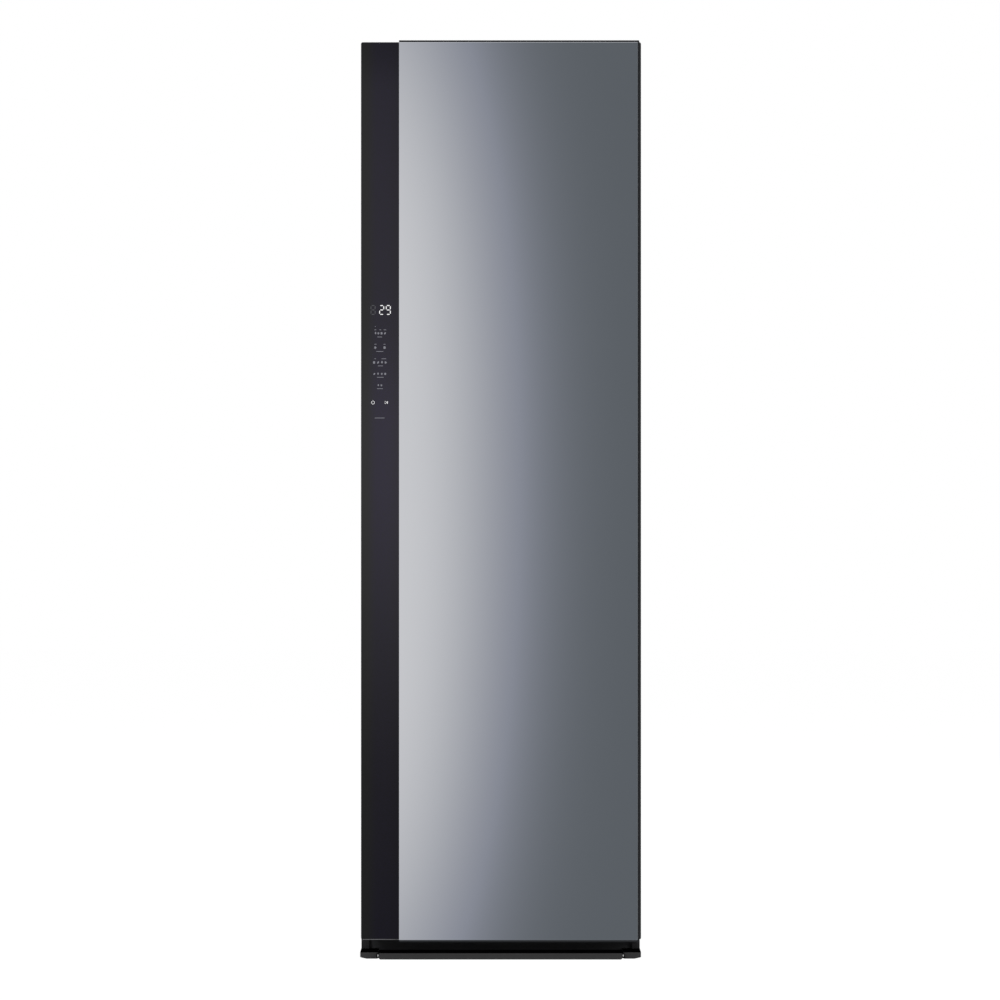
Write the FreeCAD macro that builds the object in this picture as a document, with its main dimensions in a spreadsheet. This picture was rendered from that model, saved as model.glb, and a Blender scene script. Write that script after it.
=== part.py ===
import FreeCAD, Part
import math
import os
from types import SimpleNamespace

import Sketcher
from FreeCAD import Placement, Rotation, Vector

# Clothes care steam cabinet: a tall free-standing cabinet with one full-height door.
# X runs to the right, Y to the back and Z up. The origin is on the floor under the middle of the cabinet.
# All lengths are in millimetres.

# ------------------------------------------------------------------ driving sizes

SIZES = [
    ("overall_width", 600, "plinth and door, side to side"),
    ("overall_depth", 596, "mirror face to back panel"),
    ("overall_height", 1960, "floor to the top of the mirror panel"),
    ("cut_past", 1, "how far a cutting or joining shape runs past the other"),
    ("sheet", 1, "steel sheet of the cabinet's panels"),
    ("cabinet_inset", 1, "side panel inside the overall width, each side"),
    ("cabinet_top_drop", 16, "cabinet's top below the mirror panel's top"),
    ("side_panel_foot", 15, "side panel's lower edge above the floor"),
    ("side_flange", 14, "return flange of a side panel"),
    ("top_lip_setback", 20, "side lips of the top panel behind the front frame"),
    ("frame_thickness", 1.2, "front frame's steel"),
    ("frame_foot", 60, "front frame's lower edge above the floor"),
    ("pan_height", 24, "base pan's underside above the floor"),
    ("pan_thickness", 1.6, "base pan's steel"),
    ("pan_wall", 24, "height of the base pan's upturned edge"),
    ("door_depth", 72, "mirror face to the back of the door"),
    ("door_gap", 10, "door's back to the cabinet's front, filled by the gasket"),
    ("door_left_inset", 1.8, "door's left edge inside the overall width"),
    ("door_foot", 41, "door's lower edge above the floor"),
    ("door_top_drop", 2, "door's top below the mirror panel's top"),
    ("door_wall", 1.6, "wall of the door's pan"),
    ("door_corner", 4, "rounding of the door's corners"),
    ("strip_width", 81.7, "control strip, door's left edge to mirror panel"),
    ("strip_rim", 1.4, "rim of the door's pan round the control glass"),
    ("control_glass_thickness", 3.2, "control glass"),
    ("panel_proud", 16, "mirror face in front of the control glass"),
    ("panel_right_inset", 4.3, "mirror panel inside the overall width, right side"),
    ("panel_foot", 37.6, "mirror panel's lower edge above the floor"),
    ("panel_trim", 3.2, "edge of the mirror's tray round the glass"),
    ("tray_sheet", 1.5, "back and inner walls of the mirror's tray"),
    ("mirror_thickness", 4, "mirror glass"),
    ("glass_play", 0.2, "play round a glass pane, each side"),
    ("display_margin", 12, "display window from the strip's two edges"),
    ("display_low", 1140, "display window's lower edge"),
    ("display_high", 1415, "display window's upper edge"),
    ("board_setback", 5, "display board behind the door's skin"),
    ("board_thickness", 1.6, "display board"),
    ("board_edge", 4, "display board past its window"),
    ("grip_lip", 22, "front lip of the door's side grip, front to back"),
    ("grip_reach", 21.7, "depth of the door's side grip"),
    ("grip_round", 7, "rounding of the side grip's floor"),
    ("hinge_inset", 15, "hinge line inside the overall width"),
    ("hinge_setback", 14, "hinge line in front of the door's back"),
    ("hinge_pin_radius", 4, "door hinge pin"),
    ("hinge_pin_length", 20, "pin's reach into the door"),
    ("hinge_arm_half", 12, "half the width of a hinge arm"),
    ("hinge_plate", 3.5, "steel of the hinges"),
    ("hinge_leaf_depth", 62, "top hinge's leaf on the cabinet's top"),
    ("hinge_leaf_width", 56, "top hinge's leaf on the cabinet's top"),
    ("hinge_leg_height", 64, "bottom hinge's leg on the cabinet's front"),
    ("hinge_shoulder_radius", 7, "bottom hinge's shoulder under the door"),
    ("hinge_shoulder", 4.3, "bottom hinge's shoulder under the door"),
    ("hinge_seat_gap", 0.2, "door above the bottom hinge's shoulder"),
    ("hinge_block_reach", 27, "hinge block in the door, hinge line to its inner side"),
    ("hinge_block_floor", 8, "hinge block past the end of its bush"),
    ("running_play", 0.06, "radial play of a pin in its bush"),
    ("bush_wall", 2.5, "wall of a hinge bush"),
    ("bush_floor", 2, "bush past the end of its pin"),
    ("notch_play", 1.2, "door's notch under the top hinge"),
    ("notch_reach", 25, "door's notch round the hinge line"),
    ("hinge_cover_height", 8, "cover over the top hinge"),
    ("hinge_cover_wall", 1.5, "wall of the top hinge's cover"),
    ("foam_gap", 1, "door foam short of the side grip"),
    ("liner_sheet", 2.4, "moulded inner face of the door"),
    ("door_rim_height", 18, "raised rim of the door's inner face"),
    ("door_rim_inset", 15, "raised rim inside the chamber's walls"),
    ("door_rim_wall", 6, "raised rim's wall"),
    ("gasket_width", 14, "door gasket"),
    ("gasket_margin", 8, "door gasket outside the openings"),
    ("gasket_play", 0.3, "gasket short of the cabinet's front at rest"),
    ("chamber_half_width", 243, "half the clear width of the chamber"),
    ("chamber_floor_height", 396, "chamber's floor above the base"),
    ("chamber_top_drop", 98, "chamber's ceiling below the cabinet's top"),
    ("machine_gap", 108, "chamber's back wall to the cabinet's back"),
    ("liner_wall", 2.5, "wall of the chamber's panels"),
    ("liner_corner", 16, "corner radius of the chamber's mouth, its seal and its shelf"),
    ("floor_thickness", 6, "chamber floor plate"),
    ("floor_play", 0.2, "chamber floor inside the liner"),
    ("insulation", 22, "insulation round the chamber"),
    ("bay_half_width", 238, "half the clear width of the tank bay"),
    ("bay_floor_height", 150, "tank bay's floor"),
    ("bay_drop", 28, "tank bay's ceiling under the chamber's floor plate"),
    ("bay_depth", 162, "cabinet's front to the bay's back wall"),
    ("bay_wall", 2.5, "wall of the tank bay"),
    ("bay_rail", 3, "half the width of the rail between the tanks"),
    ("bay_rail_height", 12, "rail between the tanks"),
    ("tank_width", 232, "one water tank"),
    ("tank_headroom", 21.5, "tank's body under the bay's ceiling"),
    ("tank_depth", 100, "tank's body, front to back"),
    ("tank_setback", 38, "tank's front behind the cabinet's front"),
    ("tank_wall", 2.5, "wall of a tank"),
    ("tank_corner", 10, "rounding of a tank's upright edges"),
    ("tank_play", 0.5, "tank above the bay's floor, and beside its walls"),
    ("cap_radius", 27, "tank cap"),
    ("cap_height", 5, "tank cap's disc"),
    ("cap_grip_height", 8, "grip on a tank cap"),
    ("cap_grip_half", 3, "half the width of the grip on a tank cap"),
    ("cap_plug_radius", 21, "plug of a tank cap"),
    ("cap_plug_length", 2, "plug of a tank cap"),
    ("cap_play", 0.3, "play round and under a cap"),
    ("spout_radius", 6, "tank's outlet stub"),
    ("spout_length", 14, "tank's outlet stub behind the tank"),
    ("spout_height", 20, "outlet stub above the tank's underside"),
    ("socket_length", 12, "bay's socket for an outlet stub"),
    ("socket_wall", 3, "wall of the bay's sockets"),
    ("socket_play", 0.4, "play round an outlet stub in its socket"),
    ("grip_pocket_half", 60, "half the width of a tank's finger pocket"),
    ("grip_pocket_height", 38, "finger pocket in a tank's front"),
    ("grip_pocket_depth", 22, "finger pocket in a tank's front"),
    ("grip_pocket_drop", 22, "finger pocket below the tank's top"),
    ("filter_half_width", 94, "lint filter"),
    ("filter_depth", 64, "lint filter, front to back"),
    ("filter_drop", 60, "lint filter below the chamber's floor"),
    ("filter_gap", 8.5, "lint filter behind the tank bay"),
    ("filter_wall", 3, "lint filter's frame"),
    ("filter_bar", 22, "lint filter's frame bar to frame bar"),
    ("flange_reach", 5, "edge of a piece that lies on the chamber's floor"),
    ("flange_thickness", 2, "edge of a piece that lies on the chamber's floor"),
    ("well_play", 1.5, "play of a piece in the chamber's floor"),
    ("well_wall", 2, "wall of the filter's well"),
    ("holder_middle", 172, "fragrance holder, from the cabinet's middle"),
    ("holder_half_width", 27, "fragrance holder"),
    ("holder_half_depth", 19, "fragrance holder, front to back"),
    ("holder_drop", 20, "fragrance holder below the chamber's floor"),
    ("steam_place", -172, "steam nozzle, from the cabinet's middle"),
    ("nozzle_radius", 24, "steam nozzle"),
    ("nozzle_height", 7, "steam nozzle above the chamber's floor"),
    ("nozzle_stem", 8, "steam nozzle's pipe"),
    ("shelf_rise", 164, "shelf's underside above the chamber's floor"),
    ("shelf_thickness", 12, "shelf"),
    ("shelf_play", 3, "shelf short of the chamber's walls"),
    ("shelf_setback", 21, "shelf behind the cabinet's front"),
    ("shelf_edge", 30, "shelf's edge round its slots"),
    ("shelf_slot", 10, "slot in the shelf"),
    ("shelf_slot_pitch", 36, "slot to slot"),
    ("stud_radius", 6, "shelf stud"),
    ("stud_length", 8, "shelf stud out of the chamber's wall"),
    ("stud_reach", 115, "shelf studs from the shelf's middle"),
    ("hanger_drop", 78, "middle of the hanger bar below the chamber's ceiling"),
    ("bar_half_height", 14, "hanger bar's section"),
    ("bar_half_thickness", 7, "hanger bar's section"),
    ("bar_half_length", 212, "half the hanger bar's length"),
    ("hanger_seat_pitch", 62, "hanger seat to hanger seat"),
    ("hanger_seat_half", 5, "half the width of a hanger seat"),
    ("hanger_seat_depth", 4, "hanger seat"),
    ("arm_offset", 180, "hanger arm from the middle of the bar"),
    ("arm_half_width", 12, "hanger arm, side to side"),
    ("arm_half_thickness", 4, "hanger arm, front to back"),
    ("stroke", 18, "hanger's travel to each side"),
    ("slot_play", 3, "play of an arm in its ceiling slot"),
    ("carriage_lift", 9, "carriage plate above the liner's ceiling"),
    ("carriage_thickness", 4, "carriage plate"),
    ("yoke_height", 9, "yoke block above the carriage plate"),
    ("yoke_wall", 8, "yoke's walls round its slot"),
    ("yoke_end_gap", 1, "yoke's slot past the roller at its stroke's ends"),
    ("roller_play", 0.2, "play of the crank's roller in the yoke"),
    ("guide_radius", 5, "guide rod"),
    ("guide_spacing", 48, "guide rod from the chamber's middle line"),
    ("guide_lift", 22, "guide rod above the liner's ceiling"),
    ("bearing_half_length", 15, "bearing block on a guide rod"),
    ("bearing_place", 118, "bearing block from the middle of the carriage"),
    ("bearing_wall", 4, "bearing block round its rod"),
    ("roller_radius", 8, "roller of the drive crank"),
    ("roller_length", 6, "roller of the drive crank"),
    ("crank_radius", 28, "drive crank's disc"),
    ("crank_thickness", 6, "drive crank's disc"),
    ("crank_gap", 0.6, "roller's end above the yoke"),
    ("crank_shaft_radius", 4, "drive crank's shaft"),
    ("crank_shaft_length", 22, "drive crank's shaft"),
    ("motor_radius", 36, "hanger motor"),
    ("motor_height", 36, "hanger motor"),
    ("bridge_thickness", 3, "bridge that carries the hanger motor"),
    ("bridge_half_depth", 60, "bridge, front to back"),
    ("bridge_lift", 5, "bridge above the drive crank's disc"),
    ("press_half_width", 168, "trouser press plate"),
    ("press_lift", 424, "press plate's lower edge above the chamber's floor"),
    ("press_drop", 206, "press plate's upper edge below the chamber's ceiling"),
    ("press_thickness", 12, "press plate"),
    ("press_edge_flat", 0.1, "flat left between the press plate's rounded edges"),
    ("press_backing", 10, "fixed press pad on the door"),
    ("press_gap", 3, "gap for the trousers"),
    ("press_axis_offset", 10, "press hinge line beyond the press pad"),
    ("press_pin_radius", 3, "press hinge pin"),
    ("press_pin_length", 12, "press hinge pin"),
    ("press_bore_end", 2, "press plate's bore past the end of its pin"),
    ("press_ear_half", 7, "press hinge ear"),
    ("press_ear_height", 12, "press hinge ear"),
    ("press_ear_gap", 0.8, "press plate to an ear"),
    ("press_tab", 60, "half the height of the press plate's pull"),
    ("foot_radius", 18, "levelling foot"),
    ("foot_pad", 8, "pad of a levelling foot"),
    ("foot_spanner_height", 4, "nut on a levelling foot's pad"),
    ("foot_stem_radius", 5, "threaded stem of a levelling foot"),
    ("foot_stem_length", 34, "threaded stem of a levelling foot"),
    ("foot_inset", 46, "foot inside the overall width"),
    ("foot_front_inset", 34, "front foot behind the cabinet's front"),
    ("foot_back_inset", 40, "back foot in front of the cabinet's back"),
    ("foot_nut_radius", 11, "nut under the base pan, and the one on a foot"),
    ("foot_nut_gap", 4, "nut above the foot's pad"),
    ("plinth_height", 14.2, "plinth bar's top above the floor"),
    ("plinth_lift", 0.3, "plinth's underside above the floor"),
    ("plinth_bar_depth", 14, "plinth bar, front to back"),
    ("plinth_bar_round", 4, "rounding of the plinth bar's lower ends"),
    ("plinth_cap_width", 37.5, "plinth corner cap"),
    ("plinth_cap_bevel", 2.8, "bevel of a corner cap's upright edges"),
    ("plinth_cap_run", 14, "sloping end of a corner cap's underside, side to side"),
    ("plinth_cap_rise", 3, "sloping end of a corner cap's underside, low to high"),
    ("plinth_slit", 3, "slit between the plinth bar and a corner cap"),
    ("plinth_wall", 2.5, "wall of the plinth mouldings"),
    ("plinth_shelf_low", 1.3, "underside of the tray behind the plinth bar"),
    ("kick_thickness", 2, "kick panel under the front frame"),
    ("kick_gap", 0.2, "kick panel under the front frame"),
    ("rear_split_lift", 2, "back panel's lower edge above the chamber's floor"),
    ("gland_bore_radius", 4.5, "hole for the mains lead"),
    ("gland_radius", 9, "gland in the rear cover"),
    ("gland_play", 0.2, "play round the gland in the rear cover"),
    ("gland_flange", 4, "gland's flange inside the rear cover"),
    ("gland_length", 24, "gland in the rear cover"),
    ("gland_place", 205, "gland from the cabinet's middle"),
    ("gland_height", 96, "gland above the base"),
    ("louvre_pitch", 14, "louvre to louvre"),
    ("louvre_height", 5, "louvre opening"),
    ("louvre_half_width", 90, "half the width of a louvre"),
    ("louvre_low", 150, "lowest louvre"),
    ("louvre_high", 300, "highest louvre"),
    ("blower_radius", 95, "blower housing"),
    ("blower_depth", 64, "blower housing, front to back"),
    ("blower_wall", 2.5, "wall of the blower housing and duct"),
    ("blower_place", 60, "blower's shaft from the cabinet's middle"),
    ("blower_height", 222, "blower's shaft above the base"),
    ("blower_setback", 148, "blower housing's front from the cabinet's back"),
    ("blower_outlet_width", 72, "blower housing's outlet"),
    ("blower_motor_radius", 40, "blower motor"),
    ("blower_motor_length", 52, "blower motor"),
    ("wheel_radius", 72, "blower wheel"),
    ("wheel_depth", 46, "blower wheel, front to back"),
    ("wheel_gap", 6, "blower wheel behind the housing's front wall"),
    ("wheel_plate", 3, "back plate and ring of the blower wheel"),
    ("wheel_ring_lap", 2, "front ring of the blower wheel outside its blades' inner edges"),
    ("wheel_hub_radius", 9.6, "hub of the blower wheel"),
    ("shaft_hole_radius", 12, "hole for the shaft in the blower housing"),
    ("wheel_shaft_radius", 4, "blower's shaft"),
    ("shaft_nose", 1, "blower's shaft in front of its hub"),
    ("blade_length", 15, "blade of the blower wheel"),
    ("blade_thickness", 1.6, "blade of the blower wheel"),
    ("blade_inset", 1, "blade inside the blower wheel's rim"),
    ("blade_lean", 7, "blade's inner edge ahead of its outer edge"),
    ("inlet_radius", 52, "inlet of the blower housing"),
    ("duct_half_width", 125, "air outlet in the chamber's back wall"),
    ("duct_lift", 16, "air outlet's lower edge above the chamber's floor"),
    ("duct_height", 80, "air outlet in the chamber's back wall, low to high"),
    ("duct_depth", 30, "duct behind the chamber"),
    ("duct_drop", 44, "top of the duct's elbow below the air outlet"),
    ("elbow_height", 36, "duct's elbow"),
    ("slat_pitch", 16, "slat to slat of the air outlet's grille"),
    ("slat_thickness", 3, "slat of the air outlet's grille"),
    ("grille_depth", 5, "air outlet's grille"),
    ("grille_edge", 6, "air outlet's grille round its slats"),
    ("coil_half_width", 92, "half the width of a heat exchanger"),
    ("coil_height", 186, "heat exchanger"),
    ("coil_depth", 44, "heat exchanger, front to back"),
    ("coil_gap", 8, "heat exchanger to its neighbour"),
    ("coil_core", 16, "heat exchanger's core behind its fins"),
    ("fin_pitch", 16, "fin to fin"),
    ("fin_slot", 8, "slot between two fins"),
    ("compressor_radius", 62, "compressor can"),
    ("compressor_height", 172, "compressor can"),
    ("compressor_lid", 22, "lid on the compressor can"),
    ("compressor_place", -190, "compressor from the cabinet's middle"),
    ("compressor_inset", 108, "compressor's middle from the cabinet's back"),
    ("compressor_foot", 12, "rubber feet under the compressor"),
    ("pipe_radius", 4, "refrigerant pipe"),
    ("hose_radius", 6, "water hose"),
    ("pump_radius", 20, "water pump"),
    ("pump_length", 68, "water pump"),
    ("pump_setback", 26, "water pump behind the cabinet's front"),
    ("boiler_radius", 38, "steam generator"),
    ("boiler_height", 120, "steam generator"),
    ("boiler_drop", 40, "steam generator below the chamber's floor"),
    ("boiler_gap", 0.5, "steam generator behind the tank bay"),
    ("control_box_depth", 48, "control box on the right side panel"),
    ("control_box_setback", 236, "control box's front from the cabinet's back"),
    ("control_box_length", 149, "control box, front to back"),
    ("control_box_low", 99, "control box's underside above the base"),
    ("control_box_height", 259, "control box"),
    ("control_box_corner", 5, "rounding of the control box"),
]

CIRCLE = 360
BLADES = 24
NUT_SIDES = 6
SMALL_SIDES = 12
ROUND_SIDES = 24
HOSE_SIDES = 8
MITRED = 1
SHORTEST_EDGE = 1e-6


class Size:
    """A length: its value now, and the sheet expression that gives it."""

    def __init__(self, number, expression):
        self.number = number
        self.expression = expression

    def __add__(self, other):
        return joined(self, "+", other)

    def __radd__(self, other):
        return joined(other, "+", self)

    def __sub__(self, other):
        return joined(self, "-", other)

    def __rsub__(self, other):
        return joined(other, "-", self)

    def __mul__(self, other):
        return joined(self, "*", other)

    def __rmul__(self, other):
        return joined(other, "*", self)

    def __truediv__(self, other):
        return joined(self, "/", other)

    def __neg__(self):
        return joined(0, "-", self)


def value(length):
    return length.number if isinstance(length, Size) else float(length)


def text(length):
    return length.expression if isinstance(length, Size) else f"({float(length)!r})"


OPERATIONS = {
    "+": lambda first, second: first + second,
    "-": lambda first, second: first - second,
    "*": lambda first, second: first * second,
    "/": lambda first, second: first / second,
}


def joined(first, sign, second):
    """The Size that two lengths make, as a number and as an expression."""
    result = OPERATIONS[sign](value(first), value(second))
    return Size(result, f"({text(first)} {sign} {text(second)})")


doc = FreeCAD.newDocument("SteamCabinet")


def fill_sheet():
    """Writes the driving sizes into the sheet and returns them by name."""
    sheet = doc.addObject("Spreadsheet::Sheet", "Sizes")
    for row, (alias, number, note) in enumerate(SIZES, start=1):
        sheet.set(f"A{row}", alias)
        sheet.set(f"B{row}", str(number))
        sheet.set(f"C{row}", note)
        sheet.setAlias(f"B{row}", alias)
    doc.recompute()
    names = [alias for alias, _, _ in SIZES]
    return SimpleNamespace(**{alias: Size(float(sheet.get(alias)), f"Sizes.{alias}") for alias in names})


s = fill_sheet()
nodes = {}


def publish(label, made):
    """Names a finished sub-part; the label is its file's name."""
    made.Label = label
    nodes[label] = made
    return made


def place(made, x, y, z, turn=None):
    """Puts a finished piece at a point, turned first."""
    if turn:
        made.Placement = Placement(Vector(), turn)
    for axis, length in zip("xyz", (x, y, z)):
        made.setExpression(f"Placement.Base.{axis}", text(length))
    return made


# ------------------------------------------------------------------ primitives and booleans

TURNS = {
    "X": Rotation(Vector(0, 1, 0), 90),
    "Y": Rotation(Vector(1, 0, 0), -90),
    "Z": Rotation(),
}
AXES = {"X": Vector(1, 0, 0), "Y": Vector(0, 1, 0), "Z": Vector(0, 0, 1)}


def box(name, x, y, z):
    """A block between pairs of low and high places."""
    made = doc.addObject("Part::Box", name)
    for prop, (low, high) in zip(("Length", "Width", "Height"), (x, y, z)):
        made.setExpression(prop, text(high - low))
    return place(made, x[0], y[0], z[0])


def cylinder(name, start, radius, length, axis="Z"):
    """A round bar that starts at a point and runs along an axis."""
    made = doc.addObject("Part::Cylinder", name)
    made.setExpression("Radius", text(radius))
    made.setExpression("Height", text(length))
    return place(made, *start, turn=TURNS[axis])


def prism(name, start, radius, length, sides=ROUND_SIDES, axis="Z"):
    """A many-sided bar, measured to its corners, that starts at a point and runs along an axis.

    It stands for round pieces that nothing turns in, because its few faces keep the model light.
    """
    made = doc.addObject("Part::Prism", name)
    made.Polygon = sides
    made.setExpression("Circumradius", text(radius))
    made.setExpression("Height", text(length))
    return place(made, *start, turn=TURNS[axis])


def fuse(name, *pieces):
    made = doc.addObject("Part::MultiFuse", name)
    made.Shapes = list(pieces)
    made.Refine = True
    return made


def cut(name, base, *tools):
    made = doc.addObject("Part::Cut", name)
    made.Base = base
    made.Tool = tools[0] if len(tools) == 1 else fuse(name + "_tools", *tools)
    return made


def group(name, *pieces):
    """Separate solids that share one node."""
    made = doc.addObject("Part::Compound", name)
    made.Links = list(pieces)
    return made


def mirrored(name, source):
    """The same piece on the cabinet's other side."""
    made = doc.addObject("Part::Mirroring", name)
    made.Source = source
    made.Base = Vector(0, 0, 0)
    made.Normal = Vector(1, 0, 0)
    return made


def straight_edges(shape, picks):
    """Numbers of the straight edges that any pick takes: an axis and a test of the edge's middle."""
    found = []
    for number, edge in enumerate(shape.Edges, start=1):
        if edge.Curve.TypeId != "Part::GeomLine" or edge.Length < SHORTEST_EDGE:
            continue
        start = edge.Vertexes[0].Point
        end = edge.Vertexes[-1].Point
        middle = (start + end) / 2
        along = (end - start).normalize()
        if any(abs(along.dot(AXES[axis])) > 0.999 and test(middle) for axis, test in picks):
            found.append(number)
    return found


def anywhere(middle):
    return True


def edge_feature(kind, name, base, size, picks):
    doc.recompute()
    made = doc.addObject(kind, name)
    made.Base = base
    made.Edges = [(number, value(size), value(size)) for number in straight_edges(base.Shape, picks)]
    return made


def rounded(name, base, radius, *picks):
    """The piece with the picked edges rounded."""
    return edge_feature("Part::Fillet", name, base, radius, picks)


def bevelled(name, base, size, *picks):
    """The piece with the picked edges bevelled."""
    return edge_feature("Part::Chamfer", name, base, size, picks)


def steps(low, high, pitch):
    """Places between two ends, one pitch apart and centred."""
    count = max(1, int((value(high) - value(low)) / value(pitch)))
    middle = (low + high) / 2
    return [middle + (index - (count - 1) / 2) * pitch for index in range(count)]


def tube(name, radius, bend, points):
    """An eight-sided tube along straight level and upright runs, with each corner cut by one short run."""
    corners = [Vector(*(value(length) for length in point)) for point in points]
    path = [corners[0]]
    for before, corner, after in zip(corners, corners[1:], corners[2:]):
        path.append(corner + (before - corner).normalize() * bend)
        path.append(corner + (after - corner).normalize() * bend)
    path.append(corners[-1])
    along = (path[1] - path[0]).normalize()
    side = Vector(along.y, along.z, along.x) * value(radius)
    up = along.cross(side)
    turns = [math.tau * index / HOSE_SIDES for index in range(HOSE_SIDES)]
    ring = [path[0] + side * math.cos(turn) + up * math.sin(turn) for turn in turns]
    section = Part.makePolygon(ring + ring[:1])
    made = doc.addObject("Part::Feature", name)
    made.Shape = Part.makePolygon(path).makePipeShell([section], True, False, MITRED)
    return made


# ------------------------------------------------------------------ sketches and bodies

def sketch_on(body, plane, offset=0):
    """A sketch on one of the body's own planes, moved along that plane's normal."""
    made = body.newObject("Sketcher::SketchObject", body.Name + "_sketch")
    face = next(feature for feature in body.Origin.OriginFeatures if feature.Role == plane)
    made.AttachmentSupport = [(face, "")]
    made.MapMode = "FlatFace"
    made.setExpression("AttachmentOffset.Base.z", text(offset))
    return made


def fix_point(sketch, geometry, x, y, point=1):
    """Ties a point of the sketch to the sheet."""
    for kind, length in (("DistanceX", x), ("DistanceY", y)):
        number = sketch.addConstraint(Sketcher.Constraint(kind, -1, 1, geometry, point, value(length)))
        name = f"{kind}_{number}"
        sketch.renameConstraint(number, name)
        sketch.setExpression(f"Constraints.{name}", text(length))


def outline(sketch, corners):
    """A closed outline of straight lines through corners, each tied to the sheet."""
    first = sketch.GeometryCount
    count = len(corners)
    points = [Vector(value(x), value(y), 0) for x, y in corners]
    for start, end in zip(points, points[1:] + points[:1]):
        sketch.addGeometry(Part.LineSegment(start, end), False)
    for index in range(count):
        joint = Sketcher.Constraint("Coincident", first + index, 2, first + (index + 1) % count, 1)
        sketch.addConstraint(joint)
    for index, (x, y) in enumerate(corners):
        fix_point(sketch, first + index, x, y)


def polygon(sketch, radius, sides):
    """A regular outline round the sketch's origin, measured to its corners."""
    turns = [math.tau * index / sides for index in range(sides)]
    outline(sketch, [(radius * math.cos(turn), radius * math.sin(turn)) for turn in turns])


def rectangle(sketch, x, y):
    outline(sketch, [(x[0], y[0]), (x[1], y[0]), (x[1], y[1]), (x[0], y[1])])


def pad(body, sketch, length):
    made = body.newObject("PartDesign::Pad", body.Name + "_pad")
    made.Profile = sketch
    made.setExpression("Length", text(length))
    return made


def pocket(body, sketch, length):
    """A pocket against the sketch's normal; it has to take something away."""
    doc.recompute()
    before = body.Shape.Volume
    made = body.newObject("PartDesign::Pocket", body.Name + "_pocket")
    made.Profile = sketch
    made.setExpression("Length", text(length))
    doc.recompute()
    if made.Shape.Volume >= before:
        raise ValueError(f"{made.Name} cuts nothing")
    return made


def plate(name, plane, near, thickness, x, y):
    """A body padded from one rectangle, on a plane through its near place."""
    body = doc.addObject("PartDesign::Body", name)
    sketch = sketch_on(body, plane, near)
    rectangle(sketch, x, y)
    pad(body, sketch, thickness)
    return body


def soften(body, radius, *picks):
    """Fillets straight edges of the body's last feature."""
    doc.recompute()
    tip = body.Tip
    made = body.newObject("PartDesign::Fillet", body.Name + "_fillet")
    made.Base = (tip, [f"Edge{number}" for number in straight_edges(tip.Shape, picks)])
    made.setExpression("Radius", text(radius))
    return made


def revolve(body, name, corners):
    """A ring of the body, turned round its Z axis from (radius, height) corners."""
    sketch = sketch_on(body, "XZ_Plane")
    outline(sketch, corners)
    made = body.newObject("PartDesign::Revolution", name)
    made.Profile = sketch
    made.ReferenceAxis = (sketch, ["V_Axis"])
    made.Angle = CIRCLE
    return made


# ------------------------------------------------------------------ places that pieces share

over = s.cut_past
right = s.overall_width / 2
front = -s.overall_depth / 2
back = s.overall_depth / 2
cabinet_side = right - s.cabinet_inset
inner_side = cabinet_side - s.sheet
inner_back = back - s.sheet
cabinet_top = s.overall_height - s.cabinet_top_drop
frame_half = cabinet_side - s.side_flange
frame_high = cabinet_top - s.sheet

door_left = s.door_left_inset - right
door_face = front + s.panel_proud
door_back = front + s.door_depth
door_top = s.overall_height - s.door_top_drop
strip_end = door_left + s.strip_width
glass_back = door_face + s.control_glass_thickness
strip_skin = glass_back + s.door_wall
cavity_low = s.door_foot + s.door_wall
cavity_high = door_top - s.door_wall
cavity_right = right - s.door_wall
liner_front = door_back - s.liner_sheet
grip_front = door_face + s.grip_lip
grip_floor = door_left + s.grip_reach
liner_left = grip_floor + s.door_wall
cabinet_front = door_back + s.door_gap
frame_back = cabinet_front + s.frame_thickness
panel_right = right - s.panel_right_inset
mirror_back = front + s.mirror_thickness
tray_floor = door_face - s.tray_sheet

hinge_x = right - s.hinge_inset
hinge_y = door_back - s.hinge_setback
notch_low = cabinet_top - s.notch_play
arm_high = s.door_foot - s.hinge_seat_gap - s.hinge_shoulder
arm_low = arm_high - s.hinge_plate
bush_radius = s.hinge_pin_radius + s.running_play + s.bush_wall
bush_length = s.hinge_pin_length + s.bush_floor

chamber_back = back - s.machine_gap
ceiling = cabinet_top - s.chamber_top_drop
liner_side = s.chamber_half_width + s.liner_wall
liner_back = chamber_back + s.liner_wall
liner_top = ceiling + s.liner_wall
floor_low = s.chamber_floor_height - s.floor_thickness
hanger_y = (cabinet_front + chamber_back) / 2
hanger_z = ceiling - s.hanger_drop
bay_back = cabinet_front + s.bay_depth
bay_ceiling = floor_low - s.bay_drop
duct_low = s.chamber_floor_height + s.duct_lift
duct_high = duct_low + s.duct_height
shelf_low = s.chamber_floor_height + s.shelf_rise
pan_top = s.pan_height + s.pan_thickness
rear_split = s.chamber_floor_height + s.rear_split_lift

tank_front = cabinet_front + s.tank_setback
tank_back = tank_front + s.tank_depth
tank_low = s.bay_floor_height + s.tank_play
tank_high = bay_ceiling - s.tank_headroom
tank_outer = s.bay_half_width - s.tank_play
tank_inner = tank_outer - s.tank_width
tank_middle = (tank_outer + tank_inner) / 2
spout_z = tank_low + s.spout_height
cap_y = (tank_front + s.grip_pocket_depth + tank_back) / 2

carriage_low = liner_top + s.carriage_lift
carriage_high = carriage_low + s.carriage_thickness
yoke_high = carriage_high + s.yoke_height
guide_z = liner_top + s.guide_lift
crank_low = yoke_high + s.crank_gap + s.roller_length
crank_high = crank_low + s.crank_thickness
bridge_low = crank_high + s.bridge_lift
bridge_high = bridge_low + s.bridge_thickness
carriage_half = s.arm_offset + s.arm_half_width
portal_half = carriage_half + s.stroke + s.slot_play

press_y = door_back + s.press_backing + s.press_gap + s.press_thickness / 2
press_x = s.press_half_width + s.press_axis_offset
press_low = s.chamber_floor_height + s.press_lift
press_high = ceiling - s.press_drop

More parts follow.
